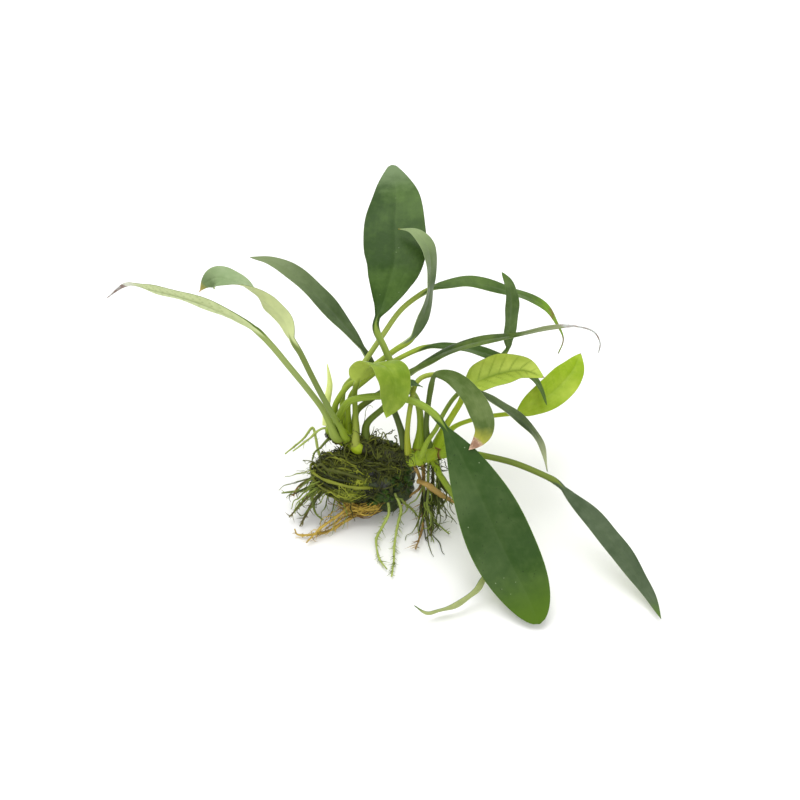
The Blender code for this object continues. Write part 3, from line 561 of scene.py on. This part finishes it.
# Painted sheen and light: broad pale patches and a pale grey-green before the tip stand in for this blade's
# gloss, and one half of it is painted brighter than the other.
leaf("leaf_top_broad", width=30.5, widest=0.45, ends=(1.5, 0.9), fold=1, r=1.6, blunt=0.96, ruffle=0.5,
     sheath=2, Deep=(1.8, 5, 0.2), Light=(7, 13, 2.4), Margin=(10, 13, 6), Stalk=(22, 30, 5),
     Foot=(24, 35, 2), Veins=0.1, Fading=(13, 19, 8.5), Fade=0.26, Specks=0.4, Blotch=0.5, Lit=PAINTED_LIT_RIGHT,
     stalk=[(26, -8, 39.5), (26.5, -1.5, 49), (25, 4.5, 60), (19.5, 10, 67), (12.5, 15.5, 76), (9, 19, 83),
         (5, 26, 90)],
     blade=[(8.5, 35.5, 96), (11.5, 43.5, 103), (14, 53, 109), (14, 70, 115.5), (14.5, 88, 119.5),
         (12.5, 111.5, 120)],
     face=[(0, 0, -6, 8), (0.5, 0, -3, 9), (1, -1, 0, 10)])
leaf("leaf_small_upright", width=8, widest=0.55, ends=(0.7, 0.8), fold=6, r=1.1, Deep=(5.5, 10, 2.2),
     Light=(15, 22, 7), Veins=0.5, Stalk=(17, 24, 3), Foot=(27, 37, 3),
     stalk=[(26, -9.8, 37.5), (27, -13, 43), (29.5, -11, 49.5), (34, -3.5, 51), (37.5, 4.5, 53),
         (44, 16, 54), (56.5, 24.5, 60), (68, 33, 67)],
     blade=[(69, 34, 75), (70, 38, 84), (70, 41, 93), (68.5, 44.5, 100), (65, 49, 104)],
     face=[(0, 3, -9, 3), (0.5, 5, -8, 2), (1, 4, -4, 8)])
# Painted light: one half of this blade is painted brighter and the other half darker.
leaf("leaf_yellow_upper", slot="leaf_young", width=19, widest=0.42, ends=(0.45, 1), fold=20, sheath=2,
     Deep=(28, 38, 4), Light=(48, 58, 9), Fading=(36, 48, 6), Tip=(40, 42, 25), Tip_From=0.965, Veins=1.3,
     Lit=PAINTED_LIT_LEFT,
     stalk=[(34, -7, 40), (37.5, 0, 46), (41.5, 4.5, 51), (45.5, 8, 57), (48.5, 12, 62)],
     blade=[(54.5, 13.5, 66), (64.5, 15.5, 69), (75, 16.5, 70), (85.5, 12.5, 69)],
     face=[(0, -6, -3, 8), (0.5, -1, -1, 10), (1, 1, -1, 10)])
leaf("leaf_yellow_right", slot="leaf_young", width=16, widest=0.5, ends=(0.6, 0.95), fold=6, r=1.1,
     sheath=2.1, Deep=(22, 34, 0.8), Veins=0.4, Margin=(28, 36, 3),
     stalk=[(37.5, -3, 40), (42, 8, 39), (51, 13.5, 39), (61.5, 14.5, 41), (73.5, 15, 43)],
     blade=[(81.5, 17.5, 46), (91.5, 23.5, 49), (100.5, 33.5, 52), (106.5, 46.5, 53)],
     face=[(0, -1, -6, 8), (0.5, 1, -4, 9), (1, 2, -2, 10)])
leaf("leaf_brown_tipped", width=11, widest=0.62, ends=(1.1, 0.9), r=1.3, Deep=(6.2, 10.5, 1.8),
     Light=(18.5, 24, 8.5), Margin=(20, 26, 10), Fading=(30, 31, 4), Tip=(58, 40, 28), Tip_From=0.87,
     Stalk=(8, 12, 2), Foot=(10, 15, 2),
     stalk=[(30.5, -7.5, 39), (29, -4.5, 53), (30, 0.5, 64), (31.5, 5, 72.5)],
     blade=[(33, 6, 77), (36.5, 4, 79.3), (41, 2, 79), (46, -1.5, 77), (50.5, -6, 73.5), (53.5, -10, 70),
         (55.5, -14, 66.5), (55.5, -17.5, 63), (53, -20.5, 60), (48.5, -24, 57.5)],
     face=[(0, 0, -7, 7), (0.5, 4, -6, 6), (1, -2, -8, 5)])
# Painted light: one half of this blade is painted brighter and the other half darker.
leaf("leaf_front_right_narrow", width=7, ends=(1, 1), fold=4, r=1.2, Deep=(3, 5, 1.4), Light=(9, 12.5, 5),
     Margin=(45, 50, 33), Stalk=(30, 37, 5), Foot=(32, 36, 3), Fading=(34, 38, 20), Tip_From=0.95, Fade=0.4,
     Lit=PAINTED_LIT_LEFT,
     stalk=[(20.5, -10.5, 38.5), (20, -7, 52), (21.5, -3, 66), (24.5, 7.5, 71), (31.5, 11.5, 72),
         (41, 10, 71), (51.5, 4, 70)],
     blade=[(60, -1, 68), (66.5, -4, 65), (74, -7, 60), (80, -9.5, 54), (84.5, -12.5, 46), (87, -17, 35)],
     face=[(0, 2, 1, 10), (0.5, 6, -1, 8), (1, 8, -5, 4)])
leaf("leaf_far_right", width=11, widest=0.45, fold=3, sheath=2.1, Deep=(4, 6.6, 2.8), Light=(10, 13.5, 7.5),
     Margin=(25, 31, 18), Stalk=(15, 20, 3), Foot=(26, 38, 2), Veins=0.1,
     stalk=[(35.5, -7.5, 39), (44, -10, 42), (56.5, -14, 43), (71, -17, 41), (85.5, -20.5, 36),
         (92, -23, 33)],
     blade=[(99.5, -30, 29), (108.5, -37.5, 24), (115.5, -45, 19), (122.5, -52.5, 14), (128.5, -60.5, 9),
         (134, -69, 5), (138, -80.5, 3)],
     face=[(0, 1, -4, 9), (0.5, 2, -4, 9), (1, 1, -1, 10)])
leaf("leaf_low_front", width=6, ends=(0.8, 1), fold=6, r=1.2, Underside=(43, 49, 19), Stalk=(24, 32, 5),
     stalk=[(32, -9, 36), (36.5, -16.5, 30), (46, -31.5, 24), (54.5, -46.5, 16), (57.5, -56, 11)],
     blade=[(54.5, -64, 8), (49.5, -70, 7), (43, -74, 5), (35, -76.5, 4), (29, -78, 4), (23, -76.5, 8)],
     face=[(0, -9, 2, -5), (0.5, -5, 9, 2), (1, 4, 9, 2)])

# Young shoot: the next leaf, still rolled up. It is a pale spike at the stem's left end, and its outer edge
# winds round it.

SPIKE_ROWS, SPIKE_AROUND = 60, 32
spike = spline([(-19, 8.5, 41), (-19, 14, 50), (-17.5, 18.5, 59), (-18.5, 23, 68)], SPIKE_ROWS)
share = np.linspace(0, 1, SPIKE_ROWS)
rolled = tubes(spike[None], np.interp(share, [0, 0.33, 0.67, 1], [2, 1.7, 1.3, 0.25])[None], SPIKE_AROUND)
wind = (np.arange(SPIKE_AROUND) / SPIKE_AROUND - 0.9 * share[:, None]) % 1
lap = 1 + 0.16 * np.where(wind < 0.75, wind / 0.75, (1 - wind) / 0.25)
middle = spike[None, :, None]
piece("young_shoot_grown", [
    (middle + (rolled - middle) * lap[None, ..., None], {"tone": (0.3 + 0.7 * lap - 0.7)[None]}),
], plant_finish("shoot_skin", (62, 72, 17), (86, 90, 40), 0.4), "leaf_young", "young_shoot")


# Main roots: wiry roots that leave the stem, the mat and the stone's side, knobbly and set with short
# rootlets.

ROOT_ROWS = 90


def strands(draw, paths, radii, around, tone=(0, 1), lumps=0.2):
    """Tubes along the paths, each with a drawn tone of its own."""
    return tubes(paths, radii, around, lumps), {"tone": draw.uniform(*tone, (len(paths), 1, 1))}


def rootlets(path, r, count, length, seed):
    """Side roots: each leaves a drawn place on the path at a slant, curves, and thins to its tip."""
    draw = rng(seed)
    start = (draw.uniform(0.08, 0.98, count) * (len(path) - 1)).astype(int)
    side, up = frames(path)
    turn = draw.uniform(0, TURN, count)[:, None]
    out = side[start] * np.cos(turn) + up[start] * np.sin(turn)
    along = unit(np.gradient(path, axis=0))[start]
    way = unit(out + draw.uniform(0.2, 1.1, (count, 1)) * along)
    bend = unit(draw.normal(size=(count, 3))) * 0.45 - np.array([0, 0, 0.3])
    t = np.linspace(0, 1, 7)[None, :, None]
    size = length * draw.uniform(0.3, 1, count)[:, None, None]
    paths = raised(path[start][:, None] + size * (way[:, None] * t + bend[:, None] * t**2), 0.3)
    return strands(draw, paths, draw.uniform(0.2, 0.4, (count, 1)) * r * (1.1 - t[..., 0]), 5, lumps=0)


GREEN = plant_finish("green_root_skin", (11, 15, 2), (34, 42, 9), 0.55), "root_green"
GOLDEN = plant_finish("golden_root_skin", (15, 8, 1), (60, 43, 7)), "root_golden"
RUSTY = plant_finish("rusty_root_skin", (12, 6.5, 1.5), (46, 30, 8)), "root_brown"
BROWN = plant_finish("brown_root_skin", (3.5, 3.5, 0.8), (17, 15, 4), 0.6), "root_brown"


def root(name, skin, r, route, hairs=18, hair=3, tone=0.5):
    """One main root: r thick at first, thinner past its middle, with hairs rootlets up to hair long."""
    path = spline(route, ROOT_ROWS)
    radii = np.interp(np.linspace(0, 1, ROOT_ROWS), [0, 0.33, 0.67, 1], [r, r, 0.8 * r, 0.35])
    main = tubes(path[None], radii[None], 12, lumps=0.16), {"tone": tone}
    piece(name + "_grown", [main, rootlets(path, r, hairs, hair, sum(map(ord, name)))], *skin, name)
    return path


root("root_front_left", GREEN, 0.7, [(10, -15, 15), (11, -20.5, 9), (8, -25.5, 5), (5, -31.5, 2.5),
     (5.5, -38.5, 1.5), (7, -44, 1.5), (10.2, -49.5, 1.5)], hairs=60, hair=4, tone=0.8)
root("root_front_right", GREEN, 0.7, [(14, -13.5, 16), (17, -18, 9), (15.5, -23.5, 5), (14, -32.5, 2),
     (13.5, -44.5, 1.5), (12.5, -54, 1.5)], hairs=80, hair=4, tone=0.8)
root("root_golden_long", GOLDEN, 0.9, [(4, -16, 11), (-3.5, -18.5, 7), (-11, -22, 4), (-17.5, -25.5, 2),
     (-24.5, -27.5, 1.5), (-33, -28, 1.5), (-35, -25.5, 3)], hairs=30, hair=4)
root("root_golden_short", GOLDEN, 0.8, [(-5, -15, 13), (-12, -20.5, 9), (-21.5, -26.5, 5.5),
     (-29, -33.5, 2)], hairs=30, hair=5)
root("root_left_loop", GREEN, 0.8, [(-21, -8, 23), (-25.5, -11, 21.5), (-26.5, -12.5, 16), (-26, -15, 9),
     (-24.5, -18.5, 6), (-21, -21.5, 5)], tone=0.1)
root("root_left_dark_long", BROWN, 0.9, [(-21.5, -8, 16), (-30, -10.5, 8), (-38, -18, 3)], hairs=24, hair=4)
root("root_left_dark_short", BROWN, 0.9, [(-17.5, -8, 15), (-26, -10, 6), (-32.5, -23, 2)], hairs=24,
     hair=4)
root("root_left_level", GREEN, 0.8, [(-20, -4, 16), (-29, -7, 11.5), (-42, -6.5, 8)], tone=0.1)
root("root_left_brown", RUSTY, 0.8, [(-20, -4.5, 23), (-28, -7, 18.5), (-33.5, -9, 15), (-36, -11, 11)],
     hairs=26, hair=4, tone=0)
root("root_aerial_back", GREEN, 0.7, [(-15, 4.5, 39.5), (-19.5, 1, 37), (-22, 1, 33), (-25, 1.5, 29),
     (-26.5, -0.5, 25)], tone=0)
root("root_aerial_arch", GREEN, 0.7, [(-21.5, -2.5, 25), (-24, 6.5, 26.5), (-26.5, 16, 31), (-31, 10, 29.5),
     (-40, 4, 25)], tone=0.7)
root("root_aerial_bright", GREEN, 0.6, [(-17.5, 6.5, 40), (-22, 7, 39.5), (-28.5, 5, 34), (-36, 3, 28)],
     hairs=8, tone=1.4)
root("root_right_brown", RUSTY, 0.8, [(21.5, -7, 34), (24.5, -9.5, 28), (26.5, -10.5, 22), (26, -10.5, 16),
     (21, -10.5, 10), (17.5, -11.5, 4)])
root("root_right_golden", (RUSTY[0], "root_golden"), 1.4, [(25.5, -12.8, 24), (28, -15.3, 25),
     (31, -16.8, 24), (34.5, -17, 20.5), (40, -16.5, 15), (46.5, -16.5, 9)], hairs=14, tone=0.6)
cluster = [
    root("root_cluster_brown", RUSTY, 0.9, [(27.5, -9, 36), (28, -12, 22), (27.5, -16, 10), (27.5, -24.5, 3),
         (24, -37.5, 2)], hairs=40, hair=5, tone=0.3),
    root("root_cluster_dark", BROWN, 0.9, [(32.5, -7.5, 36.5), (32.5, -12, 20), (32, -18, 7.5),
         (31.5, -29, 2)], hairs=40, hair=5, tone=0.2),
    root("root_cluster_green", GREEN, 0.7, [(30.3, -9.8, 35.5), (30.2, -16.5, 14), (33, -23, 7),
         (36.5, -25, 4), (40.5, -28, 2)], hairs=40, hair=5, tone=0.3),
    root("root_cluster_side", GREEN, 0.7, [(35, -6, 37.5), (35, -11.5, 16), (36, -16, 9), (39.5, -13, 10),
         (42.5, -13, 7)], hairs=34, hair=5, tone=0.1),
]
root("root_loop", GREEN, 0.7, [(13, -11, 15), (19.5, -15, 9), (22, -15, 6), (25.5, -17, 2)], hairs=26,
     hair=4, tone=0.4)

# Root mat: the oldest roots, felted into a cushion over the stone's upper left, with longer roots woven
# over it. They run down from the left crown to the lower right, dark where they are old and yellow where
# they are young.

MAT = np.array([-9, -6, 21]), np.array([16, 11.5, 11.5]), 2  # middle, half sizes, seed of its waves
MAT_ROWS, MAT_AROUND = 110, 180
BUD, BUD_CLEAR = np.array([-5, -6.4, 37.5]), 5.4  # the roots grow round the bud on the stem's front
BUD_WAY = unit(np.array([0, -1, 1]))
ROUTE_ROWS = 200


def settled(paths, lowest=0.4):
    """The paths, moved straight away from the bud's axis to BUD_CLEAR where they would pass in front of it,
    and kept as high as lowest."""
    q = paths - BUD
    along = dot(q, BUD_WAY)
    off = q - along * BUD_WAY
    away = np.linalg.norm(off, axis=-1, keepdims=True)
    moved = BUD + along * BUD_WAY + off / (away + 1e-6) * np.maximum(away, BUD_CLEAR)
    return raised(np.where(along > -3, moved, paths), lowest)


def near(draw, about, spread, *count):
    """Directions drawn round the direction about."""
    return unit(np.array(about) + draw.normal(size=(*count, 3)) * spread)


def drawn_radii(draw, count, r):
    """A radius for each strand between the two in r, thinner ones more often."""
    return r[0] + (r[1] - r[0]) * draw.random((count, 1)) ** 1.6


def tapered(radii, t):
    """The radii along strands that thin a little towards both ends."""
    return radii * (1 - 0.55 * t**3) * (1 - 0.4 * (1 - t) ** 6)


def strands_on(shape, count, first, last, spread, lift, r, seed, wander=0.35, tone=(0, 1), around=6):
    """Roots that lie on a lump: each runs from a direction near first to one near last along an arc, sways to
    both sides of it by slow waves, and lifts off the lump a little."""
    draw = rng(seed)
    t = np.linspace(0, 1, 30)[None, :, None]
    a, b = near(draw, first, spread, count, 1), near(draw, last, spread, count, 1)
    sway = sum(
        share * np.sin(TURN * (t * draw.uniform(*waves, (count, 1, 1)) + draw.random((count, 1, 1))))
        for share, waves in ((1, (0.4, 1.6)), (0.4, (2, 4)), (0.14, (5, 9)))
    )
    d = unit(unit(a * (1 - t) + b * t) + wander * 0.3 * sway * unit(np.cross(a, b)))
    high = lift * draw.random((count, 1)) * (1 + 0.6 * sway[..., 0])
    paths = settled(lump(d, shape, high + 0.1))
    return strands(draw, paths, tapered(drawn_radii(draw, count, r), t[..., 0]), around, tone)


def family(route, count, spread, r, seed, tone=(0, 1), around=6):
    """Roots that follow one route side by side, each with a slow swing of its own about it, and own ends."""
    draw = rng(seed)
    t = np.linspace(0, 1, 40)[None]
    a, b = draw.uniform(0, 0.25, (count, 1)), draw.uniform(0.6, 1, (count, 1))
    base = at_places(spline(route, ROUTE_ROWS), range(ROUTE_ROWS), (a + (b - a) * t) * (ROUTE_ROWS - 1))
    swing = sum(
        draw.normal(size=(count, 1, 3)) * np.sin(TURN * (k * t + draw.random((count, 1))))[..., None] / k
        for k in (0.5, 1, 2, 4, 7)
    )
    paths = settled(base + spread * 0.6 * swing)
    return strands(draw, paths, tapered(drawn_radii(draw, count, r), t), around, tone)


def loose(feet, ways, length, r, curl, droop, seed, rows=24, tone=(0, 1), around=5):
    """Roots that stand free: each sets off from its foot in its own way, and its direction turns by slow
    drawn waves, curl strong, and sinks by droop. The path is the running sum of its directions."""
    draw, count = rng(seed), len(feet)
    t = np.linspace(0, 1, rows)[None, :, None]
    turn = sum(
        draw.normal(size=(count, 1, 3)) * np.sin(TURN * (k * t + draw.random((count, 1, 1)))) / k**0.4
        for k in (0.5, 1, 1.8, 3)
    )
    d = unit(ways[:, None] + curl * t * turn - np.array([0, 0, droop]) * t)
    step = length * draw.uniform(0.35, 1, (count, 1, 1)) / rows
    paths = feet[:, None] + np.cumsum(d, axis=1) * step
    paths = settled(paths, 0.35 + 0.3 * draw.random((count, 1)))
    return strands(draw, paths, drawn_radii(draw, count, r) * (1.05 - 0.75 * t[..., 0]), around, tone, 0.25)


def from_lump(shape, count, about, spread, seed, then=(0, 0, 0)):
    """Feet drawn on a lump near the direction about, and ways that point outwards there and towards then."""
    draw = rng(seed)
    d = near(draw, about, spread, count)
    return lump(d, shape, -0.5), near(draw, d + np.array(then), 0.35, count)


ways = directions(MAT_ROWS, MAT_AROUND)
felt = lump(ways, MAT, 0.5 * ripples(ways, 6, 60, 40, 6) - 0.7)
MAT_SKIN = plant_finish("felted_roots", (1.2, 1.5, 0.2), (7.5, 8.5, 0.8), 0.8, 300, 0.0006)
WOVEN_SKIN = plant_finish("woven_roots", (2, 2.6, 0.2), (21, 23.5, 1.8), 0.6)
YELLOW_SKIN = plant_finish("young_root_skin", (7, 10, 0.5), (36, 40, 3.5), 0.55)
SPLAYED = plant_finish("splayed_root_skin", (2.5, 3.5, 0.4), (20, 26, 3.5), 0.55), "root_green"
OLD, DULL = (-0.3, 0.4), (0, 0.8)  # tones
piece("root_mat_felt", [(felt[None], {"tone": 0.35})], MAT_SKIN, "root_tangle", "root_mat")
piece("root_mat_strands", [
    strands_on(MAT, 30, (-0.85, 0.1, 0.5), (0.85, -0.6, 0.1), 0.24, 2.4, (0.35, 0.8), 21, around=8,
               tone=(-0.2, 0.8)),
    strands_on(MAT, 120, (-0.75, -0.1, 0.7), (0.75, -0.7, 0.1), 0.4, 1.8, (0.16, 0.45), 22, tone=OLD),
    strands_on(MAT, 60, (-0.2, -0.7, 0.8), (0.6, -0.75, 0.4), 0.3, 1.8, (0.2, 0.5), 23, wander=1.6, tone=OLD),
    strands_on(MAT, 50, (-0.9, -0.2, 0.3), (0.3, -0.95, -0.3), 0.3, 1.2, (0.25, 0.6), 24, tone=DULL),
    strands_on(MAT, 60, (-0.8, 0.5, 0.2), (-0.5, -0.7, 0.1), 0.4, 1.4, (0.25, 0.55), 25, tone=(-0.3, 0.6)),
    loose(*from_lump(MAT, 34, (-0.9, -0.3, 0.3), 0.45, 26, (-0.2, 0, -0.3)), 13, (0.2, 0.5), 0.7, 0.5, 27),
    loose(*from_lump(MAT, 50, (-0.4, -0.1, 1), 0.5, 28), 9, (0.2, 0.42), 1.1, 0.2, 29, tone=(0, 0.6)),
], WOVEN_SKIN, "root_tangle")
piece("left_splayed_strands", [
    loose(*from_lump(MAT, 16, (-0.95, -0.35, 0), 0.22, 38, (-0.5, -0.3, -0.9)), 24, (0.35, 0.65), 0.45, 0.2,
          39, rows=30, around=7),
    loose(*from_lump(MAT, 30, (-0.95, -0.3, 0.1), 0.3, 40, (-0.3, 0, -0.6)), 15, (0.18, 0.4), 0.8, 0.3, 60),
    loose(*from_lump(MAT, 12, (-0.5, -0.8, -0.4), 0.2, 51, (-0.3, -0.6, -0.5)), 24, (0.2, 0.42), 1, 0.5, 52),
], *SPLAYED)
piece("root_mat_young_strands", [
    strands_on(MAT, 50, (-0.35, -0.85, -0.05), (0.7, -0.75, -0.05), 0.15, 1.9, (0.14, 0.36), 33, wander=0.6),
    strands_on(MAT, 40, (-0.1, -0.9, 0.05), (0.65, -0.8, 0), 0.17, 2.4, (0.14, 0.3), 34, wander=1.8),
    strands_on(MAT, 5, (-0.7, -0.3, 0.7), (0.6, -0.7, 0.4), 0.2, 2.6, (0.35, 0.7), 37, around=8,
               tone=(-0.1, 0.5)),
], YELLOW_SKIN, "root_tangle")

# The golden old roots that gather under the mat and sweep out to the left.
piece("golden_strands", [
    family([(7, -18, 10), (0, -19, 7.5), (-7, -19.5, 7), (-14, -22, 5), (-21, -26, 2.5), (-32, -28, 2)],
           5, 1.5, (0.2, 0.4), 31, (-0.2, 1.1), 8),
    family([(9, -16, 13), (2, -17.5, 10.5), (-6, -17.5, 10), (-11, -15, 13), (-13, -13, 17)], 34, 1.1,
           (0.15, 0.36), 32, (-0.2, 1.2)),
    family([(7, -17.5, 11), (-3, -18.5, 8), (-10, -18, 9), (-16, -16, 14)], 20, 1.2, (0.15, 0.34), 35,
           (-0.2, 1)),
    family([(-8, -18, 9), (-17, -22, 6), (-24, -27, 3), (-30, -33, 2)], 4, 1.6, (0.16, 0.3), 36),
], *GOLDEN)


# Fine dark roots: they spring from the stem all round, creep over the stone and knot between the two
# crowns.

DARK = plant_finish("dark_root_skin", (0.8, 1, 0.2), (8.5, 10, 0.9), 0.55), "root_brown"
piece("stone_roots_front", [
    strands_on(STONE, 50, (-0.5, -0.2, 0.9), (-0.3, -0.8, 0.5), 0.3, 2.2, (0.2, 0.55), 41, wander=0.8),
    strands_on(STONE, 14, (0.3, -0.2, 0.95), (0.25, -0.9, 0.35), 0.3, 1.4, (0.2, 0.6), 42, wander=0.7),
    strands_on(STONE, 16, (0.7, -0.3, 0.7), (0.85, -0.45, 0.2), 0.25, 1.2, (0.2, 0.5), 43, wander=0.8),
    loose(*from_lump(STONE, 30, (0.2, -0.8, -0.1), 0.5, 50, (0, 0, -0.3)), 5, (0.16, 0.35), 0.9, 0.3, 53),
], *DARK)
piece("stone_roots_back", [
    strands_on(STONE, 110, (-0.6, 0.6, 0.7), (-0.4, 0.9, -0.1), 0.4, 0.5, (0.2, 0.55), 44, wander=0.8),
    strands_on(STONE, 90, (0.5, 0.4, 0.8), (0.5, 0.9, -0.1), 0.4, 0.5, (0.2, 0.5), 45, wander=0.8),
    loose(*from_lump(STONE, 90, (0, 0.8, 0.1), 0.6, 54, (0, 0, -0.3)), 6, (0.16, 0.35), 0.9, 0.3, 55),
], *DARK)


def wound(count, reach, lift, r, seed, tone=(0, 1)):
    """Roots that wind over the stem: each starts and ends at a drawn share of its length between the two in
    reach, and goes part of the way round it, at the stem's radius and a drawn lift with slow waves."""
    draw = rng(seed)
    path = spline(RHIZOME, ROUTE_ROWS)
    t = np.linspace(0, 1, 36)[None]
    a = draw.uniform(*reach, (count, 1))
    b = np.clip(a + draw.normal(size=(count, 1)) * 0.3, *reach)
    index = (a + (b - a) * t) * (ROUTE_ROWS - 1)
    middle, side, up = (at_places(each, range(ROUTE_ROWS), index) for each in (path, *frames(path)))
    turn = draw.uniform(0, TURN, (count, 1)) + draw.normal(size=(count, 1)) * 2.2 * t
    turn = turn + 0.3 * np.sin(TURN * (draw.uniform(1, 3, (count, 1)) * t + draw.random((count, 1))))
    wave = np.sin(TURN * (draw.uniform(0.5, 2.5, (count, 1)) * t + draw.random((count, 1))))
    out = STEM_R + lift * draw.uniform(0.1, 1, (count, 1)) * (0.7 + 0.6 * wave)
    turn, out = turn[..., None], out[..., None]
    paths = settled(middle + out * (np.cos(turn) * side + np.sin(turn) * up))
    return strands(draw, paths, tapered(drawn_radii(draw, count, r), t), 6, tone)


piece("stem_tangle", [
    wound(90, (0.24, 0.72), 1, (0.25, 0.6), 56),
    wound(34, (0.3, 0.68), 2.2, (0.18, 0.42), 57, tone=DULL),
    wound(20, (0.04, 0.3), 0.8, (0.2, 0.4), 58, tone=(0, 0.7)),
    family([(-17, 7, 35), (-8, 1, 34), (-1, -6, 33), (6, -10, 32), (14, -12.5, 32), (22, -13, 32)], 60, 1.6,
           (0.2, 0.5), 46),
    family([(-12, 6, 33), (0, 0, 31), (12, -2, 29), (24, -4, 30)], 80, 1.4, (0.2, 0.5), 48),
], *DARK)

# Loose young rootlets: they curl up between the stalks, and out past the mass on both sides.
draw = rng(70)
stem_feet = spline(RHIZOME, 400)[draw.integers(60, 290, 60)] + draw.normal(size=(60, 3)) * 1.2
upward = near(draw, (0.1, 0.1, 1), 0.5, 60)
forward = unit(upward + np.array([0, -0.9, -0.9]))
piece("stem_rootlets", [
    loose(stem_feet[:36], upward[:36], 24, (0.3, 0.55), 1, 0.3, 71, tone=(0, 0.5)),
    loose(stem_feet[36:], forward[36:], 20, (0.25, 0.6), 0.7, 0.7, 72, tone=(0, 0.9)),
], WOVEN_SKIN, "root_green")
branching = np.vstack([path[22:48] for path in cluster])[draw.integers(0, 4 * 26, 66)]
stem_side = np.array([30, -9, 32.5]) + draw.normal(size=(80, 3)) * np.array([3.6, 1.8, 2])
downward = near(draw, (0.06, -0.65, -0.75), 0.2, 66)
sideways = unit(downward + np.array([0.5, 0.1, 0.2]) * draw.normal(size=(66, 1)))
all_round = near(draw, (0.5, -0.2, -0.1), 1, 80)
piece("right_cluster_strands", [
    loose(branching[:24], downward[:24], 34, (0.4, 0.75), 0.35, 0.1, 73, rows=40, around=7),
    loose(branching[24:50], sideways[24:50], 20, (0.25, 0.5), 0.9, 0.2, 75),
], *SPLAYED)
piece("right_cluster_dark_strands", [
    loose(branching[50:], downward[50:], 30, (0.35, 0.65), 0.4, 0.2, 76, rows=40, around=7),
    loose(stem_side, all_round, 9, (0.18, 0.4), 0.9, 0.3, 74),
], *DARK)


# Moss: low dark green cushions on the stone's damp front right, with short tufts on them and round the
# stone.

def cushions(count, about, spread, size, seed):
    """Small uneven domes sunk in the stone, flat where they meet the ground: spheres of a drawn size, each
    pushed in and out by fine waves."""
    draw = rng(seed)
    d = near(draw, about, spread, count)
    feet = raised(lump(d, STONE, -0.6), 0.8)[:, None, None]
    ball = directions(16, 20)[None]
    r = draw.uniform(*size, (count, 1, 1, 1))
    bumpy = 1 + 0.13 * ripples(ball + 7 * draw.random((count, 1, 1, 3)), 3, 11, 14, 5)[..., None]
    return raised(feet + ball * r * bumpy * np.array([1.2, 1, 1])), {"tone": draw.random((count, 1, 1))}


def tufts(count, about, spread, length, seed):
    """Tiny blades that stand on the stone near the direction about, each leaning a drawn way."""
    draw = rng(seed)
    d = near(draw, about, spread, count)
    foot = lump(d, STONE, -0.4)
    way = near(draw, d, 0.7, count)
    t = np.linspace(0, 1, 4)[None, :, None]
    size = draw.uniform(0.4, 1, count)[:, None, None] * length
    paths = foot[:, None] + size * (way[:, None] * t + 0.35 * unit(draw.normal(size=(count, 1, 3))) * t**2)
    return strands(draw, raised(paths, 0.2), 0.16 * (1.05 - t[..., 0]), 4, lumps=0)


MOSS_SKIN = plant_finish("moss_skin", (0.6, 2, 0.2), (5, 11, 0.8), 0.45, 420, 0.0008)
piece("stone_moss", [
    cushions(7, (0.87, -0.27, 0.41), 0.09, (2, 3.2), 64),
    cushions(5, (0.33, -0.93, 0.2), 0.09, (1.4, 2.4), 67),
    cushions(26, (0.8, -0.5, 0.4), 0.2, (0.7, 1.8), 68),
    cushions(12, (0.25, -0.95, 0), 0.16, (0.6, 1.5), 65),
    cushions(50, (0.3, 0.8, 0.2), 0.45, (0.7, 2), 66),
    tufts(500, (0.9, -0.1, 0.5), 0.16, 3.2, 61),
    tufts(300, (0.4, -0.85, 0.1), 0.25, 1.2, 69),
    tufts(900, (-0.3, 0.9, 0.3), 0.4, 1.8, 62),
    tufts(700, (0.8, 0.5, 0.2), 0.3, 1.8, 63),
], MOSS_SKIN, "stone")


# Stage: a plain white floor, a broad soft light overhead, a small one in front and a lit surround, seen
# from the photograph's angle.

FLOOR_HALF, FLOOR_AT = 9, -0.0005  # metres; just under the stone, so that the two never share a face
floor_mesh = bpy.data.meshes.new("floor")
floor_mesh.from_pydata([(x * FLOOR_HALF, y * FLOOR_HALF, FLOOR_AT)
                        for x, y in ((-1, -1), (1, -1), (1, 1), (-1, 1))], [], [(0, 1, 2, 3)])
white, shader, _ = start_material("white_floor")
fill(shader, {"Base Color": (88, 88, 87), "Roughness": 0.9})
floor_mesh.materials.append(white)
floor = stand("floor", floor_mesh)

world = bpy.data.worlds.new("surround")
world.use_nodes = True
fill(world.node_tree.nodes["Background"], {"Color": (100, 100, 100), "Strength": 0.85})
scene.world = world

for name, size, power, at, turned in (
    ("overhead_light", 1.1, 13, (-0.15, 0.35, 1.25), (-0.27, -0.12, 0)),
    ("front_light", 0.8, 4, (0.5, -1.1, 1), (0.83, 0, 0.43)),
):
    lamp = bpy.data.lights.new(name, "AREA")
    lamp.size, lamp.energy = size, power
    stand(name, lamp, at, turned)

lens = bpy.data.cameras.new("camera")
lens.lens, lens.sensor_width = 76.5, 36
scene.camera = stand("camera", lens, (0.0165, -0.5678, 0.6343), (np.radians(45), 0, 0))
scene.view_settings.view_transform = "Standard"
